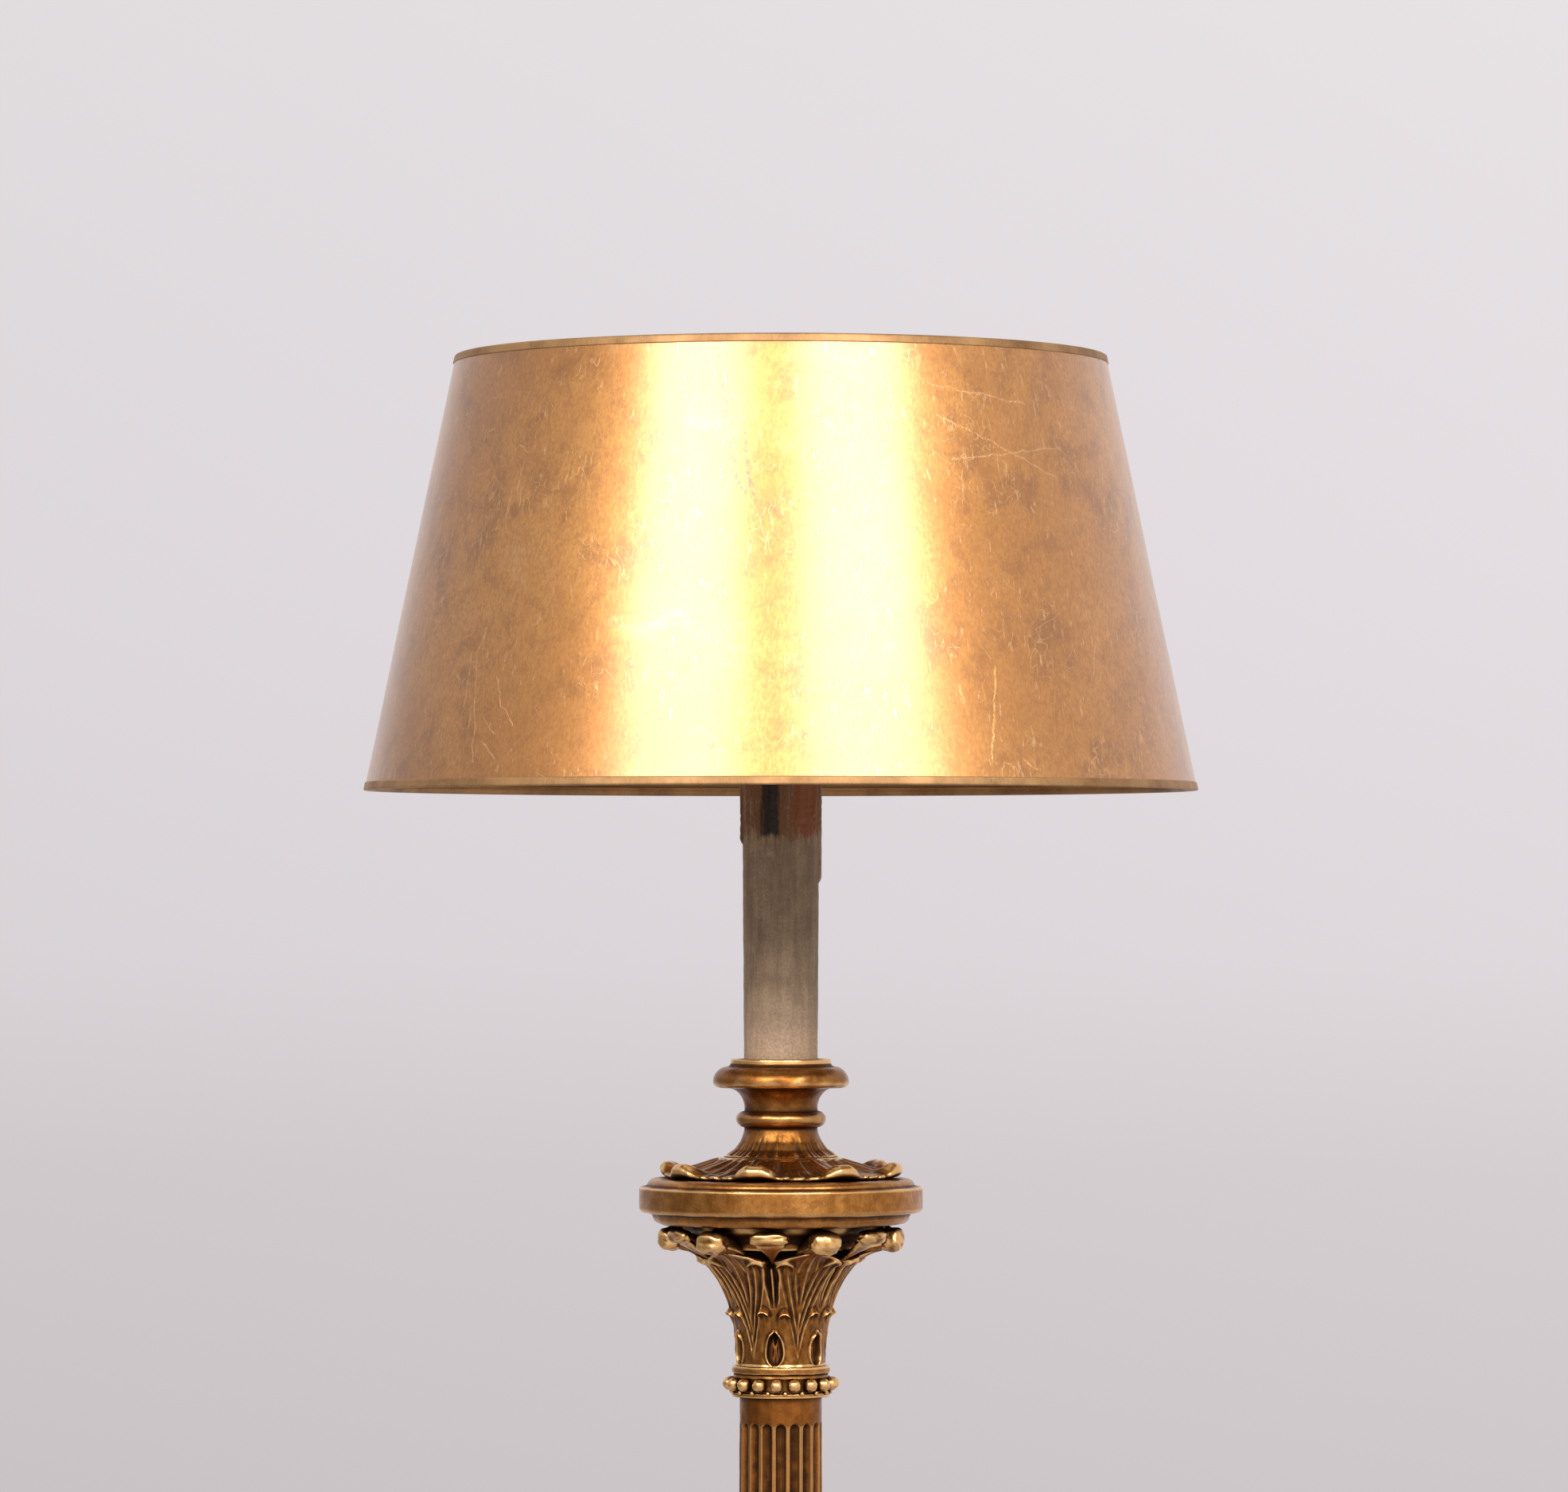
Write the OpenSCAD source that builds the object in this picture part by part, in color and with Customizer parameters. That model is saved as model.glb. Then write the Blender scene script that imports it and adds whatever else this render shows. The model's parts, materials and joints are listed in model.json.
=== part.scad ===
// Candlestick floor lamp: a carved and gilded wooden column that carries an imitation candle,
// a lampholder and a tapered round shade. The pieces are stacked on one threaded tie tube.
// Millimetres, +Z up, origin on the floor under the middle of the base.

/* [Feet] */
// Thickness of the felt under a foot
felt_t = 2; // [1:0.5:4]
// Diameter of a bun foot
foot_d = 44; // [32:1:52]
// Height of a bun foot without its felt
foot_h = 22; // [18:1:32]
// Number of feet
foot_count = 4; // [3:1:6]
// Diameter of the circle that the feet stand on
foot_circle_d = 260; // [250:1:270]
// Diameter of the hanger bolt that holds a foot
foot_bolt_d = 8; // [5:0.5:10]

/* [Plinth and ballast] */
// Widest diameter of the plinth
plinth_d = 320; // [312:1:360]
// Height of the plinth
plinth_h = 36; // [34:1:50]
// Diameter of the iron ballast disc
ballast_d = 200; // [160:1:204]
// Thickness of the ballast disc
ballast_t = 16; // [14:1:18]
// Diameter of a ballast screw
ballast_screw_d = 4.4; // [3:0.2:6]
// Bore of the bush where the lead goes in
inlet_bore = 6.4; // [5:0.2:7]
// Outer diameter of the barrel of that bush
inlet_barrel_d = 10; // [9:0.2:11]

/* [Carved foot] */
// Widest diameter of the gadrooned ring
gadroon_d = 296; // [280:1:304]
// Height of the gadrooned ring
gadroon_h = 40; // [30:1:50]
// Number of gadroons
gadroon_count = 20; // [16:1:24]
// Depth of the grooves between gadroons
gadroon_depth = 5; // [2:0.5:8]
// Diameter of the leaf dome at its foot
dome_d = 236; // [210:1:248]
// Height of the leaf dome
dome_h = 60; // [45:1:75]
// Diameter of the leaf dome at its top
dome_top_d = 88; // [84:1:100]
// Number of leaves on the dome
dome_leaves = 12; // [8:1:16]

/* [Knop and vase] */
// Widest diameter of the lower knop
knop_d = 80; // [70:1:84]
// Height of the lower knop
knop_h = 40; // [36:1:55]
// Widest diameter of the vase
vase_d = 104; // [80:1:120]
// Height of the vase
vase_h = 120; // [95:1:150]
// Diameter of the vase at its neck
vase_neck_d = 54; // [48:1:60]
// Number of leaves on the vase
vase_leaves = 8; // [6:1:10]

/* [Column] */
// Diameter of the shaft at its foot
shaft_low_d = 51; // [47:0.5:56]
// Diameter of the shaft under the capital
shaft_top_d = 44; // [40:0.5:48]
// Length of the shaft between its two collars
shaft_len = 703.2; // [500:0.1:900]
// Number of flutes
flute_count = 18; // [14:1:20]
// Width of a flute at the top of the shaft
flute_w = 5.6; // [4:0.1:6.2]
// Plain length left at each end of the flutes
flute_end = 13.7; // [8:0.1:25]
// Height of a beaded collar
collar_h = 16.4; // [14:0.1:20]
// Diameter of one bead
bead_d = 7.6; // [6:0.1:8.4]
// Number of beads in a collar
bead_count = 18; // [14:1:19]

/* [Capital] */
// Height of the capital
capital_h = 76.2; // [64:0.1:90]
// Diameter of the capital where it meets its collar
capital_neck_d = 47.6; // [44:0.1:52]
// Diameter of the bell under the drum plate
bell_d = 88; // [80:0.5:94]
// Diameter over the rolled tips of the leaves
capital_d = 133; // [122:0.5:140]
// Diameter of the roll at a leaf tip
roll_d = 13.6; // [10:0.1:14.6]
// Number of large leaves
capital_leaves = 6; // [5:1:8]
// Angle of the first leaf from the front
capital_turn = 22; // [0:1:59]

/* [Drum plate and leaf skirt] */
// Diameter of the band of the drum plate
drum_d = 152.8; // [146:0.2:160]
// Height of the drum plate
drum_h = 24.6; // [22:0.1:30]
// Diameter over the rolled tips of the leaf skirt
skirt_d = 133; // [124:0.5:140]
// Height of the leaf skirt
skirt_h = 11.3; // [10:0.1:13]
// Diameter of the roll at a tip of the skirt
skirt_roll_d = 8.6; // [7:0.1:9.2]
// Number of leaves in the skirt
skirt_leaves = 8; // [6:1:10]
// Angle of the first leaf of the skirt from the front
skirt_turn = -13; // [-22:1:22]

/* [Candle nozzle] */
// Height of the nozzle
nozzle_h = 52.9; // [48:0.1:62]
// Widest diameter of the nozzle
nozzle_d = 73.6; // [66:0.2:80]
// Diameter of the neck of the nozzle
nozzle_neck_d = 38.8; // [34:0.2:42]
// Diameter of the foot of the nozzle
nozzle_foot_d = 61.2; // [54:0.2:66]
// Depth of the socket that holds the candle
socket_depth = 7; // [5:0.5:9]

/* [Candle] */
// Length of the candle tube
candle_len = 186; // [140:1:220]
// Diameter of the candle tube at its foot
candle_low_d = 39.6; // [37:0.1:41]
// Diameter of the candle tube at its top
candle_top_d = 42; // [39.6:0.1:43]
// Wall of the candle tube
candle_wall = 2.6; // [1.5:0.1:3]
// How far a wax drip stands out
drip_out = 1.5; // [0.6:0.1:2]

/* [Tie tube] */
// Outer diameter of the tie tube
tie_d = 10; // [8:0.5:10]
// Bore of the tie tube
tie_bore = 7.6; // [5:0.2:7.8]
// Bore through the wooden pieces
wood_bore = 11; // [10.6:0.1:12]
// Height of a full nut
nut_h = 8; // [6:0.5:8]

/* [Lampholder] */
// Outer diameter of the lampholder
holder_d = 39; // [37:0.5:40]
// Height of the lampholder's cap
holder_cap_h = 16; // [15:0.5:20]
// Height of the lampholder's body
holder_body_h = 40; // [38:0.5:46]
// Height of the lower ring's underside above the cap
ring_up = 17; // [14:0.5:20]
// Outer diameter of the rings that hold the shade
ring_d = 57; // [50:0.5:60]
// Height of each ring
ring_h = 4.5; // [3:0.1:6]

/* [Bulb] */
// Widest diameter of the bulb
bulb_d = 60; // [45:1:70]
// Length of the bulb over everything
bulb_len = 105; // [95:1:115]
// Diameter of the bulb's screw cap
bulb_cap_d = 26; // [25.4:0.1:26.2]

/* [Shade] */
// Diameter of the shade at its lower rim
shade_low_d = 450; // [380:1:520]
// Diameter of the shade at its upper rim
shade_top_d = 352; // [300:1:400]
// Height of the shade
shade_h = 234.4; // [200:0.2:280]
// Thickness of the shade's skin
skin_t = 0.8; // [0.5:0.1:1.2]
// Height of the tape round each rim
trim_h = 4.5; // [4:0.1:10]
// Thickness of that tape
trim_t = 0.5; // [0.3:0.1:0.8]
// Diameter of the wire in each rim
rim_wire_d = 3; // [2:0.1:3.2]
// Diameter of the wire of a shade arm
arm_d = 4; // [3:0.1:5]
// Number of shade arms
arm_count = 3; // [3:1:4]
// Height of the upper rim above the ring of the shade's frame
fitter_drop = 154.3; // [130:1:170]
// Thickness of the ring of the shade's frame
fitter_t = 1.5; // [1:0.1:2]

/* [Fits] */
// Gap round a glued tenon
glue_gap = 0.2; // [0.1:0.05:0.4]
// Gap round a piece that is screwed or dropped in
loose_gap = 0.3; // [0.2:0.05:0.5]
// Gap between a thread and its nut
thread_gap = 0.06; // [0.04:0.01:0.1]
// Diameter of a turned tenon
tenon_d = 28; // [22:0.5:32]
// Length of a turned tenon
tenon_len = 10; // [6:0.5:12]

/* [Hidden] */
$fn = 96;

gilt = [0.72, 0.53, 0.25];
old_gilt = [0.55, 0.39, 0.2];
brass = [0.78, 0.62, 0.3];
steel = [0.62, 0.62, 0.64];
iron = [0.24, 0.24, 0.26];
black = [0.13, 0.12, 0.12];

// The stack, from the floor up
foot_z = felt_t;
plinth_z = foot_z + foot_h;
gadroon_z = plinth_z + plinth_h;
dome_z = gadroon_z + gadroon_h;
knop_z = dome_z + dome_h;
vase_z = knop_z + knop_h;
low_collar_z = vase_z + vase_h;
shaft_z = low_collar_z + collar_h;
necking_z = shaft_z + shaft_len;
capital_z = necking_z + collar_h;
drum_z = capital_z + capital_h;
skirt_z = drum_z + drum_h;
nozzle_z = skirt_z + skirt_h;
candle_z = nozzle_z + nozzle_h - socket_depth;
tube_cap_z = candle_z + candle_len;
tube_cap_t = 3;
cap_nut_h = 5;
holder_z = tube_cap_z + tube_cap_t + cap_nut_h;
body_z = holder_z + holder_cap_h;
support_z = body_z + ring_up;
turn_gap = 0.15;
fitter_z = support_z + ring_h + turn_gap;
clamp_z = fitter_z + fitter_t + turn_gap;
shade_top_z = fitter_z + fitter_drop;
shade_low_z = shade_top_z - shade_h;

bore_r = wood_bore / 2;
tenon_r = tenon_d / 2;
mortise_r = tenon_r + glue_gap;
mortise_len = tenon_len + glue_gap;
tie_r = tie_d / 2;
nut_bore_r = tie_r + thread_gap;
nut_flats = tie_d * 1.7;
washer_t = 2;
washer_r = tie_d * 1.4;

function mix(a, b, t) = a + (b - a) * t;
function limit(x) = min(1, max(0, x));
function smooth(x) = let (c = limit(x)) c * c * (3 - 2 * c);
// Points of an oval arc about [x, z], and of a round one
function oval(x, z, rx, rz, from, to, steps = 8) =
    [for (k = [0:steps]) let (t = mix(from, to, k / steps)) [x + rx * cos(t), z + rz * sin(t)]];
function arc(x, z, r, from, to, steps = 8) = oval(x, z, r, r, from, to, steps);
// A point at angle a from the front, counted to the right as seen from there
function polar(r, a, z) = [r * sin(a), -r * cos(a), z];
// Share of the way from the middle of the nearest leaf to its edge, with its sign
function across(a, count, turn) =
    let (step = 360 / count, x = (a - turn) / step) 2 * (x - round(x));

// Turned piece round the tie tube: an outline from the foot up, a tenon below, a mortise above
module turned(z, h, outline, tenon = true, mortise = true) {
    below = tenon ? [[bore_r, -tenon_len], [tenon_r, -tenon_len], [tenon_r, 0]] : [[bore_r, 0]];
    above = mortise
        ? [[mortise_r, h], [mortise_r, h - mortise_len], [bore_r, h - mortise_len]]
        : [[bore_r, h]];
    translate([0, 0, z]) rotate_extrude() polygon(concat(below, outline, above));
}

// Closed solid through rings of points, from the lowest ring to the highest
module ring_solid(rings) {
    n = len(rings[0]);
    top = len(rings) - 1;
    sides = [
        for (j = [0:top - 1], i = [0:n - 1])
            let (a = j * n + i, b = j * n + (i + 1) % n)
                each [[a, a + n, b + n], [a, b + n, b]]
    ];
    polyhedron(
        points = [for (ring = rings) each ring],
        faces = concat([[for (i = [0:n - 1]) i]], sides, [[for (i = [n - 1:-1:0]) top * n + i]])
    );
}

// Carved piece round the tie tube: a ring solid with a tenon below, a mortise above and the bore
module carved(z, h, rings, tenon = true) {
    root = 2;
    translate([0, 0, z]) difference() {
        union() {
            ring_solid(rings);
            if (tenon) translate([0, 0, -tenon_len]) cylinder(r = tenon_r, h = tenon_len + root);
        }
        translate([0, 0, -tenon_len - 1]) cylinder(r = bore_r, h = h + tenon_len + 2);
        translate([0, 0, h - mortise_len]) cylinder(r = mortise_r, h = mortise_len + 1);
    }
}

module hex_nut(z, h, flats, bore) {
    translate([0, 0, z]) difference() {
        cylinder(d = flats / cos(30), h = h, $fn = 6);
        translate([0, 0, -1]) cylinder(r = bore, h = h + 2);
    }
}

module ring(z, h, inner, outer) {
    translate([0, 0, z]) difference() {
        cylinder(r = outer, h = h);
        translate([0, 0, -1]) cylinder(r = inner, h = h + 2);
    }
}

// Feet

bolt_low_z = foot_z + 6;
bolt_top_z = plinth_z + plinth_h - 12;

module at_feet() {
    for (k = [0:foot_count - 1])
        rotate([0, 0, (k + 0.5) * 360 / foot_count - 90]) translate([foot_circle_d / 2, 0, 0]) children();
}

module felt_pads() {
    color([0.25, 0.22, 0.2]) at_feet() cylinder(d = foot_d - 14, h = felt_t);
}

module bun_feet() {
    r = foot_d / 2;
    neck = foot_d / 2 - 6;
    bulge = [for (a = [-68:17:68]) [r - 7 + 7 * cos(a), foot_h * 0.46 * (1 + sin(a) / sin(68))]];
    color(old_gilt) at_feet() translate([0, 0, foot_z]) difference() {
        rotate_extrude() polygon(concat([[0, 0]], bulge, [[neck, foot_h * 0.92], [neck, foot_h], [0, foot_h]]));
        translate([0, 0, bolt_low_z - foot_z]) cylinder(d = foot_bolt_d + 2 * glue_gap, h = foot_h);
    }
}

module foot_bolts() {
    color(steel) at_feet() translate([0, 0, bolt_low_z]) cylinder(d = foot_bolt_d, h = bolt_top_z - bolt_low_z);
}

// Plinth, ballast and lead inlet

ballast_up = 2;
ballast_z = plinth_z + ballast_up;
ballast_top_z = ballast_z + ballast_t;
nut_recess = nut_h + washer_t;
screw_circle_r = 70;
screw_top_z = ballast_top_z + 11;
screw_head_d = ballast_screw_d * 2;
inlet_z = ballast_top_z + inlet_bore / 2 + 1.5;
inlet_face = plinth_d / 2 - 12;
inlet_flange_t = 2;
inlet_flange_d = inlet_barrel_d + 3;
inlet_len = 12;

module at_ballast_screws() {
    for (a = [0:120:240]) rotate([0, 0, a - 90]) translate([screw_circle_r, 0, 0]) children();
}

// Lies along +Y, which is the back of the lamp, at the height of the inlet
module at_inlet(y) {
    translate([0, y, inlet_z]) rotate([-90, 0, 0]) children();
}

module base_plinth() {
    r = plinth_d / 2;
    round_r = 3;
    cove_r = 4;
    band_top = plinth_h - cove_r - 1;
    outline = concat(
        [[r - round_r, 0]], arc(r - round_r, round_r, round_r, -90, 0, 4),
        arc(r - 1.5, band_top + cove_r, cove_r, -90, -180, 4), [[r - 1.5 - cove_r, plinth_h]]
    );
    color(old_gilt) difference() {
        turned(plinth_z, plinth_h, outline, tenon = false);
        translate([0, 0, plinth_z - 1]) cylinder(d = ballast_d + 2 * loose_gap, h = ballast_top_z - plinth_z + 1);
        at_feet() translate([0, 0, plinth_z - 1])
            cylinder(d = foot_bolt_d + 2 * glue_gap, h = bolt_top_z + 1 - plinth_z + 1);
        at_ballast_screws() translate([0, 0, ballast_z])
            cylinder(d = ballast_screw_d + 2 * thread_gap, h = screw_top_z + 1 - ballast_z);
        at_inlet(0) cylinder(d = inlet_bore + 1.6, h = r);
        at_inlet(inlet_face - inlet_len) cylinder(d = inlet_barrel_d + 2 * glue_gap, h = r);
        at_inlet(inlet_face) cylinder(d = inlet_flange_d + 1, h = r);
    }
}

module ballast_disc() {
    color(iron) difference() {
        translate([0, 0, ballast_z]) cylinder(d = ballast_d, h = ballast_t);
        translate([0, 0, ballast_z - 1]) cylinder(r = bore_r, h = ballast_t + 2);
        translate([0, 0, ballast_z - 1]) cylinder(r = washer_r + 3, h = nut_recess + 1);
        at_ballast_screws() translate([0, 0, ballast_z - 1]) cylinder(d = ballast_screw_d + 1, h = ballast_t + 2);
        at_ballast_screws() translate([0, 0, ballast_z - 0.01])
            cylinder(d1 = screw_head_d + 1, d2 = ballast_screw_d + 1, h = ballast_screw_d / 2);
    }
}

module ballast_screws() {
    head_h = ballast_screw_d / 2;
    color(steel) at_ballast_screws() translate([0, 0, ballast_z]) {
        cylinder(d1 = screw_head_d, d2 = ballast_screw_d, h = head_h);
        translate([0, 0, head_h]) cylinder(d = ballast_screw_d, h = screw_top_z - ballast_z - head_h);
    }
}

base_washer_z = ballast_z + nut_recess - washer_t;

module base_washer() {
    color(steel) ring(base_washer_z, washer_t, tie_r + glue_gap, washer_r);
}

module base_nut() {
    color(steel) hex_nut(base_washer_z - nut_h, nut_h, nut_flats, nut_bore_r);
}

module inlet_bush() {
    color(brass) at_inlet(inlet_face) difference() {
        union() {
            cylinder(d = inlet_flange_d, h = inlet_flange_t);
            translate([0, 0, -inlet_len]) cylinder(d = inlet_barrel_d, h = inlet_len + 1);
        }
        translate([0, 0, -inlet_len - 1]) cylinder(d = inlet_bore, h = inlet_len + inlet_flange_t + 2);
    }
}

// Gadrooned ring and leaf dome

module base_gadroon() {
    bulge = 26;
    rows = 7;
    reach = 80;
    steps = gadroon_count * 6;
    r = gadroon_d / 2;
    rings = [
        for (j = [0:rows]) let (t = mix(-reach, reach, j / rows), z = gadroon_h / 2 * (1 + sin(t) / sin(reach)))
            [for (i = [0:steps - 1])
                let (a = i * 360 / steps, groove = 1 - abs(sin(a * gadroon_count / 2)))
                    polar(r - bulge + (bulge - gadroon_depth * groove) * cos(t), a, z)]
    ];
    color(old_gilt) carved(gadroon_z, gadroon_h, rings);
}

// Outline of the dome: a rounded shoulder, then a cove that rises to the neck
function dome_at(t) =
    let (foot = 3, r = dome_d / 2 - 4, top = dome_top_d / 2, mid = mix(top, r, 0.57), mid_z = mix(foot, dome_h, 0.46))
        t < 0.45
            ? let (s = t / 0.45 * 90) [mid + (r - mid) * cos(s), foot + (mid_z - foot) * sin(s)]
            : let (s = (t - 0.45) / 0.55 * 90) [mid - (mid - top) * sin(s), dome_h - (dome_h - mid_z) * cos(s)];

module base_dome() {
    rows = 9;
    steps = dome_leaves * 8;
    lift = 3;
    carving = [
        for (j = [0:rows]) let (t = j / rows, p = dome_at(t), fade = sin(180 * limit(t * 1.15)))
            [for (i = [0:steps - 1])
                let (
                    a = i * 360 / steps, u = across(a, dome_leaves, 0),
                    leaf = smooth((1 - abs(u)) * 2.4) + 0.35 * cos(360 * u) * (1 - abs(u)),
                    out = lift * fade * (leaf - 0.5)
                )
                    polar(p[0] + out * (1 - t), a, p[1] + out * t * 0.8)]
    ];
    foot = [for (i = [0:steps - 1]) polar(dome_d / 2, i * 360 / steps, 0)];
    foot_top = [for (i = [0:steps - 1]) polar(dome_d / 2, i * 360 / steps, 2.2)];
    color(old_gilt) carved(dome_z, dome_h, concat([foot, foot_top], carving));
}

// Knop and vase

module lower_knop() {
    r = knop_d / 2;
    bead_r = 7;
    foot_r = r;
    waist_r = r - 12;
    outline = concat(
        [[foot_r, 0], [foot_r, 4]], arc(foot_r - 1, 15, 11, -90, -180, 6),
        [[waist_r + 3, 16]], arc(r - bead_r, 16 + bead_r, bead_r, -90, 90, 10),
        [[waist_r + 1, 17 + 2 * bead_r], [waist_r, 19 + 2 * bead_r],
         [waist_r, knop_h - 5], [waist_r + 3, knop_h - 3], [waist_r + 3, knop_h]]
    );
    color(gilt) turned(knop_z, knop_h, outline);
}

vase_waist_r = 22;
vase_foot_r = 30;

// Radius of the vase at height z, without its leaves
function vase_r(z) =
    let (foot = vase_h * 0.12, t = limit((z - foot) / (vase_h - foot)), neck = vase_neck_d / 2,
         line = mix(vase_waist_r, neck - 1, t))
        z < foot
            ? mix(vase_waist_r, vase_foot_r, pow(1 - z / foot, 2))
            : line + (vase_d / 2 - mix(vase_waist_r, neck, 0.55) - 4) * sin(180 * pow(t, 1.15));

module leaf_vase() {
    rows = 16;
    steps = vase_leaves * 8;
    lift = 4;
    rings = [
        for (j = [0:rows]) let (t = j / rows, z = vase_h * t, half = sqrt(limit(1 - pow((t - 0.34) / 0.5, 2))))
            [for (i = [0:steps - 1])
                let (
                    a = i * 360 / steps, u = across(a, vase_leaves, 0),
                    leaf = smooth((0.94 * half - abs(u)) * 5 + 0.5) * smooth((t - 0.1) * 9),
                    rib = 0.3 * cos(540 * u), tip = 0.9 * smooth((t - 0.55) * 4) * smooth((0.86 - t) * 14)
                )
                    polar(vase_r(z) + lift * leaf * (0.75 + rib + tip), a, z)]
    ];
    color(gilt) carved(vase_z, vase_h, rings);
}

// Column

fillet_h = 2.6;

// Collar with a row of beads between two fillets, on a column of radius r
module beaded_collar(z, r) {
    core_r = r + 3.2;
    lip_r = r + 4.4;
    bead_z = fillet_h + 0.5 + bead_d / 2;
    outline = [
        [lip_r, 0], [lip_r, fillet_h], [core_r, fillet_h], [core_r, collar_h - fillet_h - 1.3],
        [lip_r, collar_h - fillet_h - 1.3], [lip_r, collar_h]
    ];
    turned(z, collar_h, outline);
    for (k = [0:bead_count - 1])
        translate([0, 0, z + bead_z]) translate(polar(r + 6, (k + 0.75) * 360 / bead_count, 0))
            sphere(d = bead_d, $fn = 48);
}

module lower_collar() {
    color(gilt) beaded_collar(low_collar_z, shaft_low_d / 2);
}

module necking_collar() {
    color(gilt) beaded_collar(necking_z, shaft_top_d / 2);
}

module fluted_shaft() {
    low_r = shaft_low_d / 2;
    top_r = shaft_top_d / 2;
    cutter_top_r = flute_w / 2 + 0.1;
    cutter_low_r = cutter_top_r * low_r / top_r;
    low_z = flute_end + cutter_low_r;
    run = shaft_len - 2 * flute_end - cutter_low_r - cutter_top_r;
    lean = atan((low_r - top_r) / shaft_len);
    start_r = mix(low_r, top_r, low_z / shaft_len) + 0.6;
    color(old_gilt) difference() {
        turned(shaft_z, shaft_len, [[low_r, 0], [top_r, shaft_len]]);
        translate([0, 0, shaft_z]) for (k = [0:flute_count - 1])
            rotate([0, 0, k * 360 / flute_count - 90]) translate([start_r, 0, low_z]) rotate([0, -lean, 0]) {
                sphere(r = cutter_low_r, $fn = 32);
                cylinder(r1 = cutter_low_r, r2 = cutter_top_r, h = run, $fn = 32);
                translate([0, 0, run]) sphere(r = cutter_top_r, $fn = 32);
            }
    }
}

// Capital: a bell with large leaves whose tips roll over, and a smaller leaf between each pair

roll_r = roll_d / 2;
bell_r = bell_d / 2;
roll_at = [capital_d / 2 - roll_r, capital_h - roll_r - 1.2];
leaf_top = roll_at[1] - roll_r * 0.75;

// Small lobes on both edges of a large leaf, in two tiers: height of the tip, place on the leaf, half width,
// how far the tip stands out, and the height over which it grows
lobe_tiers = [[30, 0.62, 0.27, 2.3, 15], [57.5, 0.68, 0.25, 3.2, 17]];
first_tip = lobe_tiers[0][0];
second_tip = lobe_tiers[1][0];

// Heights of the rows up to the roll, close together at the tips of the lobes, and places across a leaf
rise_rows = [
    0, 3, 6.5, 10, 13.5, 16.5, 19.5, 23, 26, first_tip - 2, first_tip - 0.4, first_tip + 0.8,
    35, 40, 45, 50, 53.5, second_tip - 2.2, second_tip - 0.4, second_tip + 0.8, leaf_top
];
leaf_edge = [0, 0.09, 0.18, 0.26, 0.34, 0.45, 0.56, 0.66, 0.75, 0.84, 0.92];
leaf_columns = concat([for (i = [len(leaf_edge) - 1:-1:1]) -leaf_edge[i]], leaf_edge, [1]);
capital_rise = len(rise_rows) - 1;
capital_roll = 8;
capital_rows = capital_rise + capital_roll + 2;

// Half the width of a large leaf, as a share of its part of the ring, against its height
leaf_half = [
    [0, 1.1], [1, 0.88], [5, 0.72], [10, 0.66], [15, 0.76], [19, 1], [21, 1.2], [27, 1.2], [32, 0.86],
    [40, 0.84], [50, 0.88], [second_tip, 0.94], [second_tip + 1, 0.72], [63, 0.42], [66, 0.31], [capital_h, 0.31]
];

// Outlines of the bell, of a large leaf through its middle, and of the flower between two leaves, at row j
function bell_at(j) =
    let (
        z = j <= capital_rise ? rise_rows[j] : mix(leaf_top, capital_h, (j - capital_rise) / (capital_rows - capital_rise)),
        s = limit((z - 6) / (capital_h - 6))
    )
        [mix(capital_neck_d / 2 - 2.6, bell_r, 1 - sqrt(1 - pow(min(s, 0.97), 2))), z];

function leaf_at(j) =
    let (
        low = 6, neck_r = capital_neck_d / 2, reach = roll_at[0] - roll_r * 1.3,
        past = (j - capital_rise - capital_roll) / (capital_rows - capital_rise - capital_roll)
    )
        j <= capital_rise
            ? let (z = rise_rows[j], s = limit((z - low) / (leaf_top + 1 - low)))
                [mix(neck_r, reach, 1 - sqrt(1 - s * s)), z]
            : j <= capital_rise + capital_roll
            ? let (a = mix(-130, 100, (j - capital_rise) / capital_roll))
                [roll_at[0] + roll_r * cos(a), roll_at[1] + roll_r * sin(a)]
            : [mix(roll_at[0], bell_r, past), mix(roll_at[1] + roll_r * 0.9, capital_h, past)];

function flower_at(j) =
    let (base = bell_at(j), t = limit((base[1] - 57) / (capital_h - 1.4 - 57)))
        [mix(base[0], roll_at[0] + 5.2, pow(t, 0.7) * sqrt(limit(1 - pow(t, 6)))), base[1]];

// How far the lobes stand out of a large leaf at height z
function lobe_lift(z, u, k = 0) =
    k == len(lobe_tiers)
        ? 0
        : let (
            lobe = lobe_tiers[k], side = limit(1 - pow((abs(u) - lobe[1]) / lobe[2], 2)),
            grown = limit((z - lobe[0] + lobe[4]) / lobe[4]), cut = limit((lobe[0] + 0.8 - z) / 1.2)
        )
            lobe[3] * pow(side, 0.7) * pow(grown, 1.5) * cut + lobe_lift(z, u, k + 1);

// How far a row dips beside the middle of a lobe, which gives the tip its arch
function lobe_dip(z, u, k = 0) =
    k == len(lobe_tiers)
        ? 0
        : let (lobe = lobe_tiers[k], aside = (abs(u) - lobe[1]) / lobe[2])
            2.8 * min(1, aside * aside) * smooth(1 - abs(z - lobe[0]) / 7) + lobe_dip(z, u, k + 1);

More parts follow.
